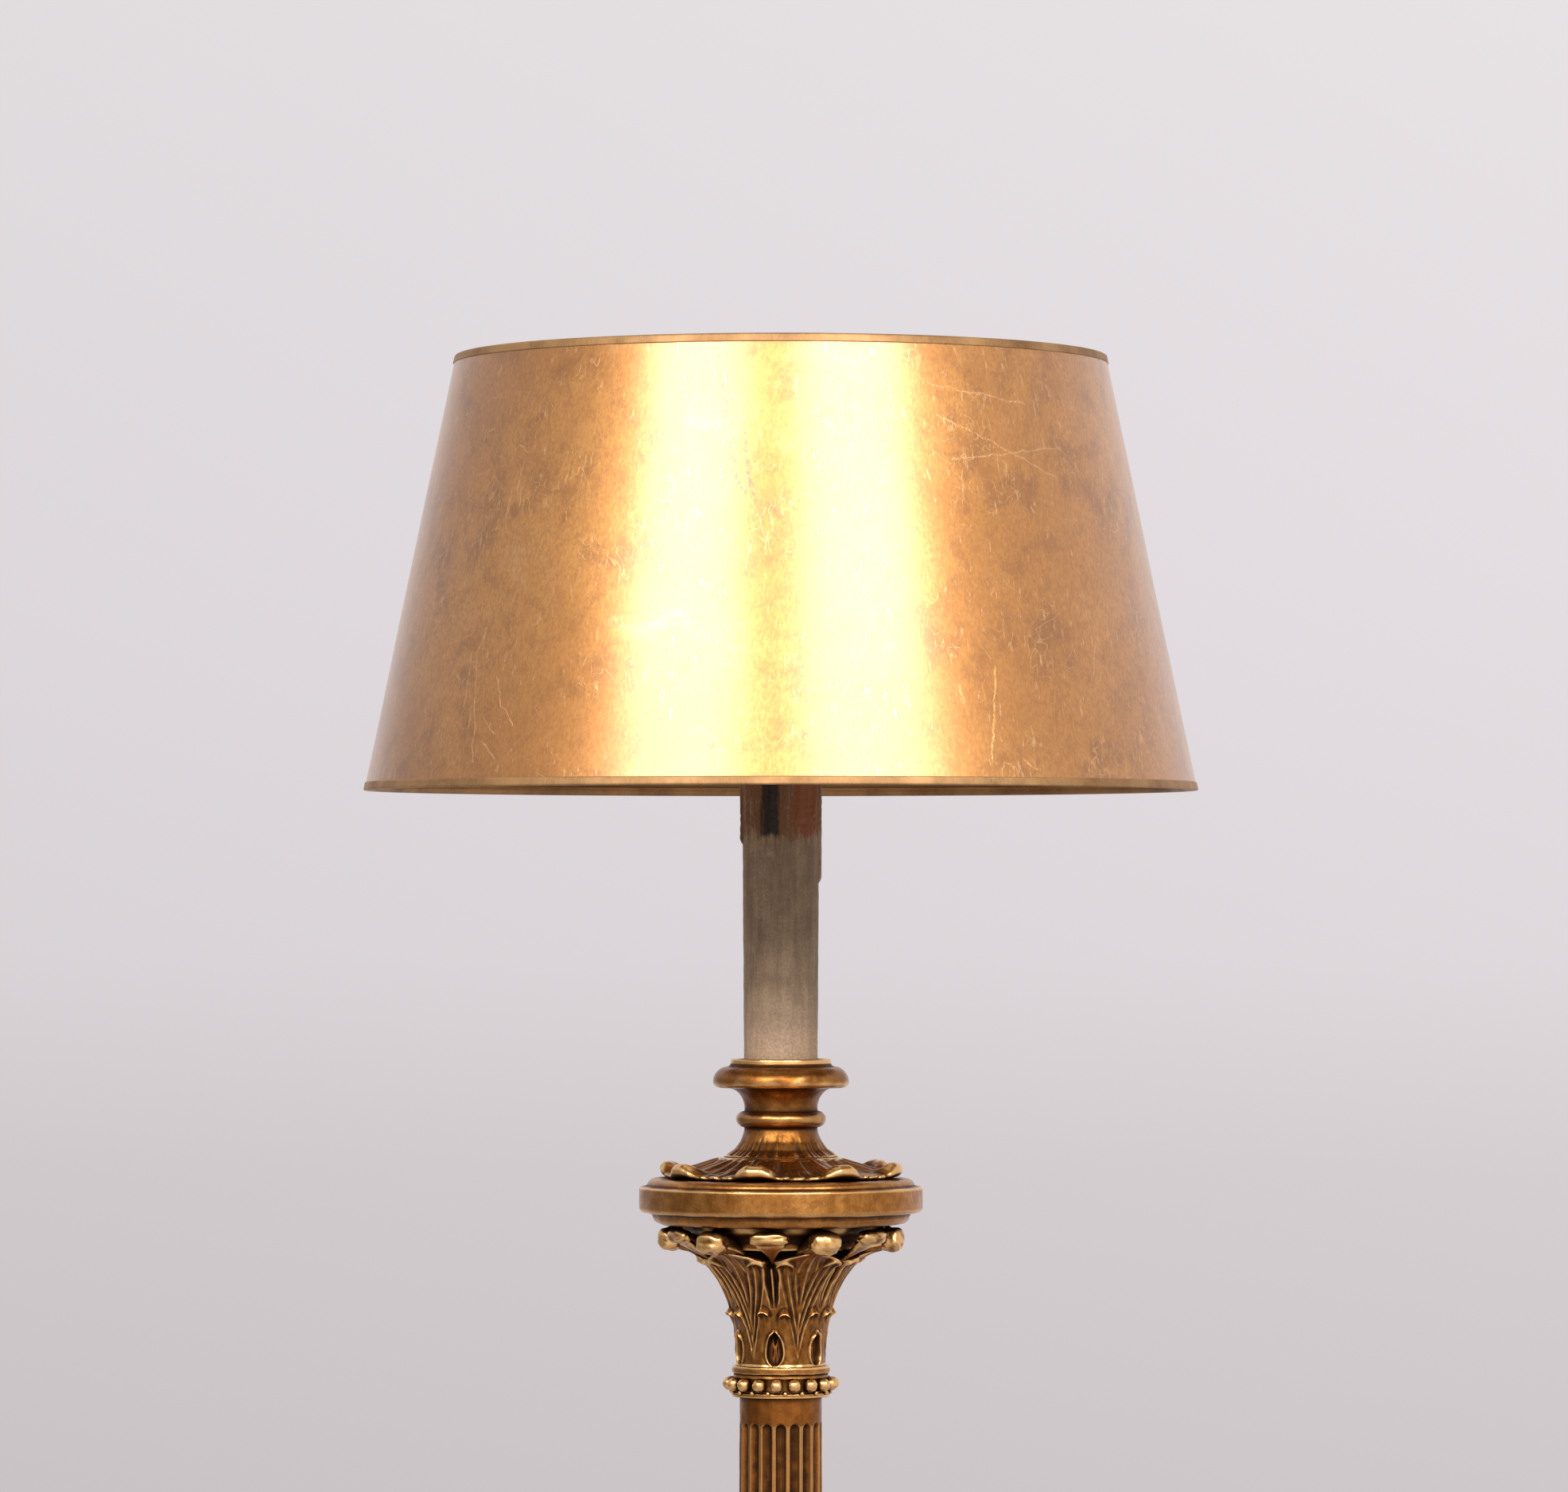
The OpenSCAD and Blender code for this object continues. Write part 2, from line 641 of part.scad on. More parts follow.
function capital_point(j, u) =
    let (
        bell = bell_at(j), leaf = leaf_at(j), flower = flower_at(j), z = leaf[1], half = lookup(z, leaf_half),
        ball = sqrt(limit(1 - pow(u / half, 2))), flat = smooth((half - abs(u)) * 5 + 0.5),
        on_leaf = mix(flat, ball, smooth((j - capital_rise + 2) / 2)),
        flower_half = 0.32 * smooth((bell[1] - 57) / 12),
        on_flower = flower_half > 0 ? sqrt(limit(1 - pow((1 - abs(u)) / flower_half, 2))) : 0,
        rise = j <= capital_rise ? 1 : 0,
        midrib = 0.8 * limit(1 - abs(u) / 0.13), vein = 0.5 * cos(900 * u) * smooth(1.6 - abs(u) * 2.4),
        stalk = 2.1 * limit(1 - (1 - abs(u)) / 0.1) * smooth((z - 20) / 4),
        lift = on_leaf * ((midrib + vein) * smooth(z / 8) + lobe_lift(z, u)) + stalk,
        p = bell + (leaf - bell) * on_leaf + (flower - bell) * on_flower * (1 - on_leaf)
    )
        [p[0] + rise * lift, p[1] - rise * lobe_dip(z, u)];

module capital() {
    rings = [
        for (j = [0:capital_rows]) [
            for (k = [0:capital_leaves - 1]) for (u = leaf_columns)
                let (
                    a = capital_turn + (2 * k + u) * 180 / capital_leaves,
                    p = j == capital_rows ? [bell_r, capital_h] : capital_point(j, u)
                )
                    polar(p[0], a, j == 0 ? 0 : p[1])
        ]
    ];
    color(gilt) carved(capital_z, capital_h, rings);
}

// Drum plate

module drum_plate() {
    r = drum_d / 2;
    foot_h = 6.6;
    edge_r = 2.6;
    lip_z = drum_h - 4.6;
    outline = concat(
        arc(r - 10.4, 3.4, 3.4, -90, 0, 4), [[r - 4.6, foot_h]], arc(r - edge_r, foot_h + edge_r, edge_r, -90, 0, 5),
        [[r, lip_z - 0.4], [r - 0.6, lip_z], [r - 3, lip_z + 0.4]], arc(r - 8.6, drum_h - 3.8, 3.8, 0, 90, 5)
    );
    color(gilt) turned(drum_z, drum_h, outline);
}

// Leaf skirt round the foot of the nozzle

skirt_top_r = nozzle_foot_d / 2 + 0.4;
skirt_roll_r = skirt_roll_d / 2;
skirt_roll_at = [skirt_d / 2 - skirt_roll_r, skirt_h - skirt_roll_r - 0.6];
skirt_root = [[skirt_top_r + 10.5, skirt_h - 3.5], [skirt_top_r + 5, skirt_h - 2.2], [skirt_top_r, skirt_h]];

// Outline of the skirt through the middle of a leaf, from the flat underside round the roll to the top
skirt_tip = concat(
    [[skirt_roll_at[0] - 14, 0], [skirt_roll_at[0] - 7, 1.2]],
    arc(skirt_roll_at[0], skirt_roll_at[1], skirt_roll_r, -120, 120, 6),
    [[skirt_roll_at[0] - 6, 5.6], [skirt_roll_at[0] - 11, 5.2]], skirt_root
);
// The same between two leaves
skirt_gap = concat(
    [[skirt_roll_at[0] - 14, 0], [skirt_roll_at[0] - 7, 0.4]],
    arc(skirt_roll_at[0] - 2.2, 1.8, 1.3, -120, 120, 6),
    [[skirt_roll_at[0] - 7, 3.0], [skirt_roll_at[0] - 12, 3.6]], skirt_root
);

module leaf_skirt() {
    steps = skirt_leaves * 12;
    rings = [
        for (j = [0:len(skirt_tip) - 1])
            [for (i = [0:steps - 1])
                let (
                    a = i * 360 / steps + skirt_turn, u = across(a, skirt_leaves, skirt_turn),
                    roll = smooth(1.12 - 1.6 * abs(u)), ruffle = 0.7 * cos(1080 * u) * (1 - roll),
                    p = mix(skirt_gap[j], skirt_tip[j], roll)
                )
                    polar(p[0] + (j > 1 && j < 10 ? ruffle : 0), a, p[1])]
    ];
    color(gilt) carved(skirt_z, skirt_h, rings, tenon = false);
}

// Candle nozzle

socket_r = candle_low_d / 2 + loose_gap;

module candle_nozzle() {
    r = nozzle_d / 2;
    neck_r = nozzle_neck_d / 2;
    foot_r = nozzle_foot_d / 2;
    bead_r = 4.2;
    bead_z = 20.4;
    bell_h = bead_z - bead_r - 0.5;
    lip_r = socket_r + 7;
    cup_z = nozzle_h - 15;
    corner_r = 2.5;
    rim_z = nozzle_h - 3.6;
    bell = [for (k = [0:8]) let (t = k / 8) [neck_r + (foot_r - neck_r) * pow(1 - t, 1.7), bell_h * t]];
    cove_z = bead_z + bead_r + 0.9;
    outline = concat(
        bell, oval(neck_r + 0.3, bead_z, bead_r + 0.2, bead_r, -90, 90, 10),
        oval(neck_r + 8.6, cove_z, 8.6, cup_z - 0.4 - cove_z, 180, 90, 8), [[r - corner_r - 1, cup_z]],
        arc(r - corner_r, cup_z + corner_r, corner_r, -80, 0, 4),
        oval(lip_r + 2.4, cup_z + corner_r, r - lip_r - 2.4, rim_z - cup_z - corner_r, 10, 90, 8),
        [[lip_r + 1, rim_z], [lip_r, rim_z + 0.8], [lip_r, nozzle_h - 0.4], [lip_r - 0.4, nozzle_h],
         [socket_r, nozzle_h], [socket_r, nozzle_h - socket_depth], [bore_r, nozzle_h - socket_depth]]
    );
    color(gilt) translate([0, 0, nozzle_z]) rotate_extrude() polygon(concat(
        [[bore_r, -tenon_len + 1], [tenon_r, -tenon_len + 1], [tenon_r, 0]], outline
    ));
}

// Tie tube, its washers and nuts

tie_low_z = ballast_z - 1;
tie_top_z = holder_z + 6;

module tie_tube() {
    color(steel) difference() {
        ring(tie_low_z, tie_top_z - tie_low_z, tie_bore / 2, tie_r);
        at_inlet(0) cylinder(d = tie_bore - 1, h = tie_d);
    }
}

module cup_washer() {
    color(steel) ring(candle_z, washer_t, tie_r + glue_gap, washer_r);
}

module cup_nut() {
    color(steel) hex_nut(candle_z + washer_t, nut_h, nut_flats, nut_bore_r);
}

// Imitation candle

candle_bore_r = candle_low_d / 2 - candle_wall;
// Each drip: its angle from the front, how far it runs down from the top, its width
drips = [[90, 84, 5.4], [-91, 63, 4.8], [-14, 70, 4.2], [31, 52, 4.6], [146, 76, 5.2], [-150, 58, 4.8]];

module candle_tube() {
    lean = atan((candle_top_d - candle_low_d) / 2 / candle_len);
    color([0.86, 0.82, 0.72]) translate([0, 0, candle_z]) difference() {
        union() {
            cylinder(d1 = candle_low_d, d2 = candle_top_d, h = candle_len);
            for (drip = drips) {
                r = drip[2] / 2;
                rotate([0, 0, drip[0] - 90]) translate([candle_top_d / 2 + drip_out - r, 0, candle_len])
                    rotate([0, lean, 0]) translate([0, 0, -drip[1] + r]) {
                        sphere(r = r, $fn = 32);
                        cylinder(r = r, h = drip[1] - r - 1, $fn = 32);
                    }
            }
        }
        translate([0, 0, -1]) cylinder(r = candle_bore_r, h = candle_len + 2);
    }
}

module tube_cap() {
    lip = 6;
    r = candle_top_d / 2;
    plug_r = candle_bore_r - loose_gap;
    hole_r = tie_r + glue_gap;
    color(brass) translate([0, 0, tube_cap_z]) rotate_extrude() polygon([
        [hole_r, 0], [plug_r - 1.2, 0], [plug_r - 1.2, -lip], [plug_r, -lip], [plug_r, 0],
        [r, 0], [r, tube_cap_t - 1], [r - 1, tube_cap_t], [hole_r, tube_cap_t]
    ]);
}

module cap_nut() {
    color(brass) hex_nut(tube_cap_z + tube_cap_t, cap_nut_h, nut_flats, nut_bore_r);
}

// Lampholder

holder_r = holder_d / 2;
holder_wall = 3.3;
holder_thread_r = holder_r + 0.5;
holder_cavity_r = holder_r - holder_wall - 2;
insert_h = 10;
shell_r = bulb_cap_d / 2 + loose_gap;
shell_t = 0.7;
shell_len = holder_body_h - insert_h - 4;

module holder_cap() {
    entry_h = 7;
    neck_r = 9;
    shoulder = 3 + holder_r - neck_r;
    color(black) translate([0, 0, holder_z]) rotate_extrude() polygon(concat(
        [[nut_bore_r, 0], [neck_r, 0], [neck_r, 3]], arc(neck_r, shoulder, shoulder - 3, -90, 0, 6),
        [[holder_r, shoulder + 1], [holder_r, holder_cap_h], [holder_cavity_r, holder_cap_h],
         [holder_cavity_r, entry_h + 4], [holder_cavity_r - 4, entry_h], [nut_bore_r, entry_h]]
    ));
}

module holder_body() {
    inner_r = holder_r - holder_wall;
    lip_h = 2;
    lip_r = shell_r + shell_t + loose_gap;
    thread_low = ring_up - 3;
    thread_top = holder_body_h - 3;
    color(black) translate([0, 0, body_z]) rotate_extrude() polygon([
        [inner_r, 0], [holder_r, 0], [holder_r, thread_low], [holder_thread_r, thread_low + 0.5],
        [holder_thread_r, thread_top], [holder_r, thread_top + 0.5], [holder_r, holder_body_h],
        [lip_r, holder_body_h], [lip_r, holder_body_h - lip_h], [inner_r, holder_body_h - lip_h]
    ]);
}

module holder_insert() {
    color([0.9, 0.88, 0.84]) translate([0, 0, body_z]) cylinder(r = holder_r - holder_wall - loose_gap, h = insert_h);
}

module screw_shell() {
    color(brass) ring(body_z + insert_h, shell_len, shell_r, shell_r + shell_t);
}

contact_h = 3.4;
contact_w = 5;

module centre_contact() {
    t = 0.6;
    color(brass) translate([0, contact_w / 2, body_z + insert_h]) rotate([90, 0, 0]) linear_extrude(contact_w)
        polygon([[-8, 0], [-3, 0], [0, contact_h - t], [4, contact_h - t], [4, contact_h], [-0.4, contact_h],
                 [-3.4, t], [-8, t]]);
}

module terminal_screws() {
    color(brass) for (x = [-8, 8]) translate([x, 0, body_z - 4]) {
        cylinder(d = 4, h = 4);
        translate([0, 0, -1.4]) cylinder(d = 5.4, h = 1.4);
    }
}

ring_bore_r = holder_thread_r + thread_gap;

module shade_ring(z) {
    outer = ring_d / 2;
    color(black) translate([0, 0, z]) rotate_extrude() polygon([
        [ring_bore_r, 0], [outer - 0.8, 0], [outer, 0.8], [outer, ring_h - 0.8], [outer - 0.8, ring_h], [ring_bore_r, ring_h]
    ]);
}

module support_ring() {
    shade_ring(support_z);
}

module clamp_ring() {
    shade_ring(clamp_z);
}

// Shade

// Outer radius of the shade's skin at height z
function skin_r(z) = mix(shade_low_d, shade_top_d, (z - shade_low_z) / shade_h) / 2 - trim_t;
wire_in = skin_t + 0.1 + rim_wire_d / 2;
top_wire_z = shade_top_z - trim_t - 0.3 - rim_wire_d / 2;
low_wire_z = shade_low_z + trim_t + 0.3 + rim_wire_d / 2;
top_wire_r = skin_r(top_wire_z) - wire_in;
low_wire_r = skin_r(low_wire_z) - wire_in;

module wire_ring(r, z) {
    translate([0, 0, z]) rotate_extrude() translate([r, 0]) circle(d = rim_wire_d, $fn = 24);
}

// Straight wire between two points of the plane through the axis
module wire(from, to, d) {
    step = to - from;
    translate([from[0], 0, from[1]]) rotate([0, atan2(step[0], step[1]), 0]) cylinder(d = d, h = norm(step), $fn = 24);
}

knuckle_r = arm_d / 2 + 0.25;
fitter_r = ring_d / 2 + arm_d + 1;
braze_gap = 0.05;
arm_foot = [ring_d / 2 + knuckle_r + 0.6, fitter_z + fitter_t + knuckle_r + braze_gap];
arm_bend = [fitter_r + 8, arm_foot[1] + 1.6];
arm_head = [top_wire_r, top_wire_z];
arm_way = (arm_head - arm_bend) / norm(arm_head - arm_bend);

module at_arms() {
    for (k = [0:arm_count - 1]) rotate([0, 0, k * 360 / arm_count + 30]) children();
}

module fitter_ring() {
    color(brass) ring(fitter_z, fitter_t, holder_thread_r + loose_gap, fitter_r);
}

// Each wire is upset into a knuckle where it is brazed down and where it bends
module shade_arms() {
    color(brass) at_arms() union() {
        translate([arm_foot[0], 0, arm_foot[1]]) sphere(r = knuckle_r, $fn = 24);
        wire(arm_foot, arm_bend, arm_d);
        translate([arm_bend[0], 0, arm_bend[1]]) sphere(r = knuckle_r, $fn = 24);
        wire(arm_bend, arm_head - arm_way * (rim_wire_d / 2 + braze_gap), arm_d);
    }
}

module top_wire() {
    color(brass) wire_ring(top_wire_r, top_wire_z);
}

module bottom_wire() {
    color(brass) wire_ring(low_wire_r, low_wire_z);
}

tape_gap = 0.08;

module shade_skin() {
    low = shade_low_z + trim_t + tape_gap;
    top = shade_top_z - trim_t - tape_gap;
    color([0.78, 0.58, 0.3]) rotate_extrude() polygon([
        [skin_r(low) - skin_t, low], [skin_r(low), low], [skin_r(top), top], [skin_r(top) - skin_t, top]
    ]);
}

// Tape folded over a rim: z is the rim, side is 1 where the tape hangs down from it and -1 below
module rim_tape(z, side) {
    fold = z - side * trim_t;
    end = z - side * trim_h;
    inner = skin_t + rim_wire_d + 0.4;
    color([0.62, 0.44, 0.2]) rotate_extrude() polygon([
        [skin_r(end) + tape_gap, end], [skin_r(end) + tape_gap + trim_t, end], [skin_r(z) + tape_gap + trim_t, z],
        [skin_r(z) - inner - trim_t, z], [skin_r(end) - inner - trim_t, end],
        [skin_r(end) - inner, end], [skin_r(fold) - inner, fold], [skin_r(fold) + tape_gap, fold]
    ]);
}

// The tape is notched where each arm passes under it
module top_trim() {
    color([0.62, 0.44, 0.2]) difference() {
        rim_tape(shade_top_z, 1);
        at_arms() wire(arm_bend, arm_head, arm_d + 2 * loose_gap);
    }
}

module bottom_trim() {
    rim_tape(shade_low_z, -1);
}

// Bulb, screwed home in the lampholder

bulb_z = body_z + insert_h + contact_h + loose_gap;
button_h = 1.5;
collar_up = 5;
cap_len = 20;
glass_z = bulb_z + collar_up + cap_len;
glass_t = 0.8;
globe_z = bulb_z + bulb_len - bulb_d / 2;

// Outline of the bulb from the neck to the crown, drawn in by the given amount
function bulb_outline(inset) =
    let (r = bulb_d / 2, neck = bulb_cap_d / 2 - 1, low = -58, start = glass_z)
        concat(
            [for (k = [0:6]) let (t = k / 6, end = [r * cos(low), globe_z + r * sin(low)])
                [mix(neck, end[0], smooth(t)) - inset, mix(start, end[1], t)]],
            [for (a = [low + 12:12:86]) [(r - inset) * cos(a), globe_z + (r - inset) * sin(a)]],
            [[0, globe_z + r - inset]]
        );

module bulb_glass() {
    inner = bulb_outline(glass_t);
    color([0.95, 0.95, 0.93]) rotate_extrude() polygon(concat(bulb_outline(0), [for (k = [len(inner) - 1:-1:0]) inner[k]]));
}

module bulb_stem() {
    color([0.9, 0.9, 0.9]) translate([0, 0, glass_z - 1]) rotate_extrude() polygon([
        [0, 0], [bulb_cap_d / 2 - 2.2, 0], [bulb_cap_d / 2 - 2.2, 1], [5, 6], [3, 24], [4, 28], [0, 30]
    ]);
}

module bulb_cap() {
    r = bulb_cap_d / 2;
    color(steel) translate([0, 0, bulb_z + collar_up]) rotate_extrude() polygon([
        [r - 2, 0], [r, 2], [r, cap_len], [r - 1.9, cap_len], [r - 1.9, cap_len - 1], [r - 2, cap_len - 1]
    ]);
}

module bulb_insulator() {
    color(black) translate([0, 0, bulb_z + button_h]) rotate_extrude() polygon([
        [0, 0], [5, 0], [bulb_cap_d / 2 - 2, collar_up - button_h], [bulb_cap_d / 2 - 2, collar_up - button_h + 0.8],
        [0, collar_up - button_h + 0.8]
    ]);
}

module bulb_contact() {
    color(brass) translate([0, 0, bulb_z]) cylinder(d1 = 7, d2 = 9, h = button_h);
}

felt_pads();
bun_feet();
foot_bolts();
base_plinth();
ballast_disc();
ballast_screws();
base_washer();
base_nut();
inlet_bush();
base_gadroon();
base_dome();
lower_knop();
leaf_vase();
lower_collar();
fluted_shaft();
necking_collar();
capital();
drum_plate();
leaf_skirt();
candle_nozzle();
tie_tube();
cup_washer();
cup_nut();
candle_tube();
tube_cap();
cap_nut();
holder_cap();
holder_body();
holder_insert();
screw_shell();
centre_contact();
terminal_screws();
support_ring();
clamp_ring();
fitter_ring();
shade_arms();
top_wire();
bottom_wire();
shade_skin();
top_trim();
bottom_trim();
bulb_glass();
bulb_stem();
bulb_cap();
bulb_insulator();
bulb_contact();
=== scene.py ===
import json
import math

import bpy
import numpy as np
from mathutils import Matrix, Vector


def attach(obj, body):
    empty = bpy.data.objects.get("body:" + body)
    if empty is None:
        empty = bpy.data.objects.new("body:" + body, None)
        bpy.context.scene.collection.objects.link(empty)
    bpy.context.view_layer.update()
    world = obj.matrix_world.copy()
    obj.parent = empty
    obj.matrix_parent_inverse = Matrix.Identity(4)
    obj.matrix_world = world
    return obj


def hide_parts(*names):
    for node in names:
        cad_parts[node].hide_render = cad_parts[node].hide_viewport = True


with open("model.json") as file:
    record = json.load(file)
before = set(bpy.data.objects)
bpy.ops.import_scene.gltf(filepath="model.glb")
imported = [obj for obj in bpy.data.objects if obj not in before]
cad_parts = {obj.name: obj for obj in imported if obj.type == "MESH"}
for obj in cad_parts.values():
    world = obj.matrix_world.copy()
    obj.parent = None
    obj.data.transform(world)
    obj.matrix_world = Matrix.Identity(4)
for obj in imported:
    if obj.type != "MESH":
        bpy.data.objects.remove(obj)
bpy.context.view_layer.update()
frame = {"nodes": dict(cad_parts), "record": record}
mm = 0.001  # the drawing below is in millimetres


# shader nodes

class Socket:
    # an output socket that takes part in arithmetic

    def __init__(self, finish, output):
        self.finish = finish
        self.output = output

    def named(self, name):
        return Socket(self.finish, self.output.node.outputs[name])

    def between(self, low, high, start=0.0, end=1.0):
        return self.finish.node("MapRange", {"interpolation_type": "SMOOTHSTEP"}, {
            "Value": self, "From Min": low, "From Max": high, "To Min": start, "To Max": end})

    def __add__(self, value):
        return self.finish.maths("ADD", self, value)

    def __sub__(self, value):
        return self.finish.maths("SUBTRACT", self, value)

    def __rsub__(self, value):
        return self.finish.maths("SUBTRACT", value, self)

    def __mul__(self, value):
        return self.finish.maths("MULTIPLY", self, value)

    __radd__ = __add__
    __rmul__ = __mul__


class Finish:
    # one material, or the world, and the nodes in it

    def __init__(self, owner):
        self.owner = owner
        owner.use_nodes = True
        self.tree = owner.node_tree
        self.tree.nodes.clear()

    def node(self, kind, settings=None, values=None, output=0):
        made = self.tree.nodes.new("ShaderNode" + kind)
        for name, value in (settings or {}).items():
            if name == "stops":
                stops = made.color_ramp.elements
                stops.remove(stops[-1])
                stops[0].position, stops[0].color = value[0]
                for position, colour in value[1:]:
                    stops.new(position).color = colour
            else:
                setattr(made, name, value)
        for name, value in (values or {}).items():
            if isinstance(value, Socket):
                self.tree.links.new(value.output, made.inputs[name])
            else:
                made.inputs[name].default_value = value
        return Socket(self, made.outputs[output]) if made.outputs else made

    def maths(self, operation, first, second=0.0):
        return self.node("Math", {"operation": operation}, {0: first, 1: second})

    def vector(self, operation, values, output=0):
        return self.node("VectorMath", {"operation": operation}, values, output)

    def place(self, stretch=None):
        where = self.node("TexCoord").named("Object")
        return self.node("Mapping", None, {"Vector": where, "Scale": stretch}) if stretch else where

    def axes(self, place):
        # how far to the right, towards the front and up
        apart = self.node("SeparateXYZ", None, {"Vector": place})
        return apart.named("X"), apart.named("Y") * -1, apart.named("Z")

    def noise(self, size, detail=3, rough=0.5, stretch=None, bend=0.0):
        # size is about that of one blotch, in millimetres
        return self.node("TexNoise", None, {
            "Vector": self.place(stretch), "Scale": 1000 / size, "Detail": detail,
            "Roughness": rough, "Distortion": bend})

    def blend(self, share, under, over):
        return self.node("Mix", {"data_type": "RGBA"}, {0: share, 6: under, 7: over}, output=2)

    def layers(self, colour, look, coats):
        # colours of the look laid one over another, each where its share says
        for share, name in coats:
            colour = self.blend(share, colour, look[name])
        return colour

    def bump(self, height, distance, under=None):
        values = {"Distance": distance * mm, "Height": height}
        if under:
            values["Normal"] = under
        return self.node("Bump", None, values)

    def away(self, point, start, end):
        # how far a point is from a straight stroke
        line = Vector(end) - Vector(start)
        lead = self.vector("SUBTRACT", {0: point, 1: start})
        along = self.vector("DOT_PRODUCT", {0: lead, 1: line / line.length_squared}, 1)
        share = self.maths("MINIMUM", self.maths("MAXIMUM", along), 1.0)
        back = self.vector("SCALE", {0: line, "Scale": share})
        return self.vector("LENGTH", {0: self.vector("SUBTRACT", {0: lead, 1: back})}, 1)

    def relief(self):
        # above nought on raised edges and below nought in hollows, as the carved meshes carry it
        return self.node("Attribute", {"attribute_name": "relief"}).named("Fac")

    def shine(self, values):
        self.node("OutputMaterial", None, {"Surface": self.node("BsdfPrincipled", None, values)})
        return self.owner


def tint(red, green, blue):
    return (red, green, blue, 1.0)


def newFinish(name):
    return Finish(bpy.data.materials.new(name))


# finishes

def giltWood(name, look):
    # leaf over red clay on carved wood, rubbed bright on the edges and dirty in the hollows, with a painted highlight
    # laid on the raised edges and painted shade laid in the hollows and crevices
    finish = newFinish(name)
    relief = finish.relief()
    cloud = finish.noise(46, 4, 0.62)
    mottle = finish.noise(6.5, 5, 0.66, bend=0.5)
    speck = finish.noise(1.5, 4, 0.7)
    grit = finish.noise(0.8, 3, 0.6)
    brushed = finish.noise(5, 4, 0.65, stretch=(1, 1, look["grainRun"]))
    # ambient occlusion, read only to paint shade into crevices and closed-in corners
    crevice = finish.node("AmbientOcclusion", {"samples": 8}, {"Distance": look["crevice"] * mm}).named("AO")
    # hollow darkens low relief: old dirt in part, painted shade in part
    hollow = (relief * -1 + mottle * 0.35 + brushed * 0.2).between(0.2, 0.75)
    # painted shade where ambient occlusion finds the surface closed in
    aoShade = (crevice + mottle * 0.3).between(1.0, 0.56)
    # edge lightens raised relief: rubbed leaf in part, painted highlight in part
    edge = (relief + mottle * 0.25 + cloud * 0.2).between(0.42, 0.95)
    colour = finish.layers(look["toned"], look, (
        ((cloud * 0.5 + brushed * 0.5).between(0.36, 0.64), "leaf"),
        ((mottle + speck * 0.3).between(0.5, 0.8) * 0.5, "dull"),
        # rubbed leaf and a painted highlight on the raised edges
        (edge * look["edgeRubAndHighlight"], "bright"),
        ((grit + mottle * 0.3).between(0.60, 0.84) * (0.45 - edge * 0.33), "dull"),
        ((speck + mottle * 0.6).between(0.97, 1.12) * 0.6, "clay"),
        # old dirt and painted shade laid into the hollows and the closed-in places
        (hollow * 0.85, "grimeAndShade"),
        (aoShade * 0.94, "grimeAndShade")))
    rough = look["rough"] + hollow * 0.22 + aoShade * 0.25 + mottle * 0.16 - edge * 0.08
    grain = finish.bump(speck * 0.4 + grit * 0.25 + mottle + brushed * 0.5, look["tooth"])
    return finish.shine({
        "Base Color": colour, "Metallic": 1 - hollow * 0.15, "Roughness": rough, "Normal": grain,
        "Coat Weight": look["coat"], "Coat Roughness": 0.25})


# grimeAndShade is old dirt and painted shade together, laid in the hollows
waterGilt = {
    "leaf": tint(0.57, 0.258, 0.068), "toned": tint(0.31, 0.118, 0.022), "dull": tint(0.22, 0.080, 0.016),
    "bright": tint(0.92, 0.565, 0.225), "clay": tint(0.14, 0.042, 0.012), "grimeAndShade": tint(0.024, 0.008, 0.0024),
    "edgeRubAndHighlight": 0.75, "rough": 0.25, "tooth": 0.12, "coat": 0.03, "grainRun": 0.5, "crevice": 12}
# the bright colour on raised edges is rubbed leaf and a painted highlight together
handledGilt = {
    **waterGilt, "leaf": tint(0.43, 0.188, 0.044), "toned": tint(0.225, 0.080, 0.014), "dull": tint(0.15, 0.052, 0.010)}
rubbedGilt = {
    **waterGilt, "leaf": tint(0.34, 0.122, 0.022), "toned": tint(0.20, 0.066, 0.011), "dull": tint(0.15, 0.050, 0.011),
    "bright": tint(0.56, 0.31, 0.115), "clay": tint(0.09, 0.027, 0.009), "grimeAndShade": tint(0.018, 0.0065, 0.002),
    "edgeRubAndHighlight": 0.6, "rough": 0.30, "tooth": 0.15, "coat": 0.02, "grainRun": 0.12}


# creases, rubbed strokes and torn places on the shade, each through points of angle from the front and height
shadeMarks = {
    "strokes": (((-47.6, 1448), (-49.0, 1436), (-48.0, 1416), (-46.9, 1395), (-46.4, 1378)),
                ((-50.2, 1435), (-49.9, 1406)), ((-43.9, 1422), (-42.3, 1408), (-39.8, 1397)),
                ((-45.0, 1389), (-42.2, 1380)), ((-45.3, 1401), (-42.9, 1393)), ((31.6, 1427), (29.5, 1379)),
                ((51.9, 1440), (50.1, 1423)), ((34.3, 1379), (36.9, 1374)), ((26.2, 1558), (49.2, 1527)),
                ((25.3, 1574), (44.3, 1566)), ((28.2, 1535), (51.6, 1544)), ((-47.2, 1544), (-45.0, 1541)),
                ((128, 1500), (132, 1440)), ((-130, 1560), (-118, 1520)), ((205, 1480), (214, 1476))),
    "torn": (((-10.7, 1593), (-8.8, 1560), (-9.0, 1548), (-6.3, 1519), (-1.2, 1507)), ((-5.9, 1548), (-3.9, 1511)),
             ((-32.4, 1416), (-32.0, 1415.4)), ((3.1, 1392), (3.3, 1389)), ((-9.6, 1392), (-9.2, 1383)),
             ((9.9, 1544), (9.4, 1541)), ((8.0, 1557), (8.1, 1554)), ((-19.5, 1391), (-19.2, 1389)),
             ((150, 1530), (151, 1522)), ((-100, 1420), (-99, 1409)))}


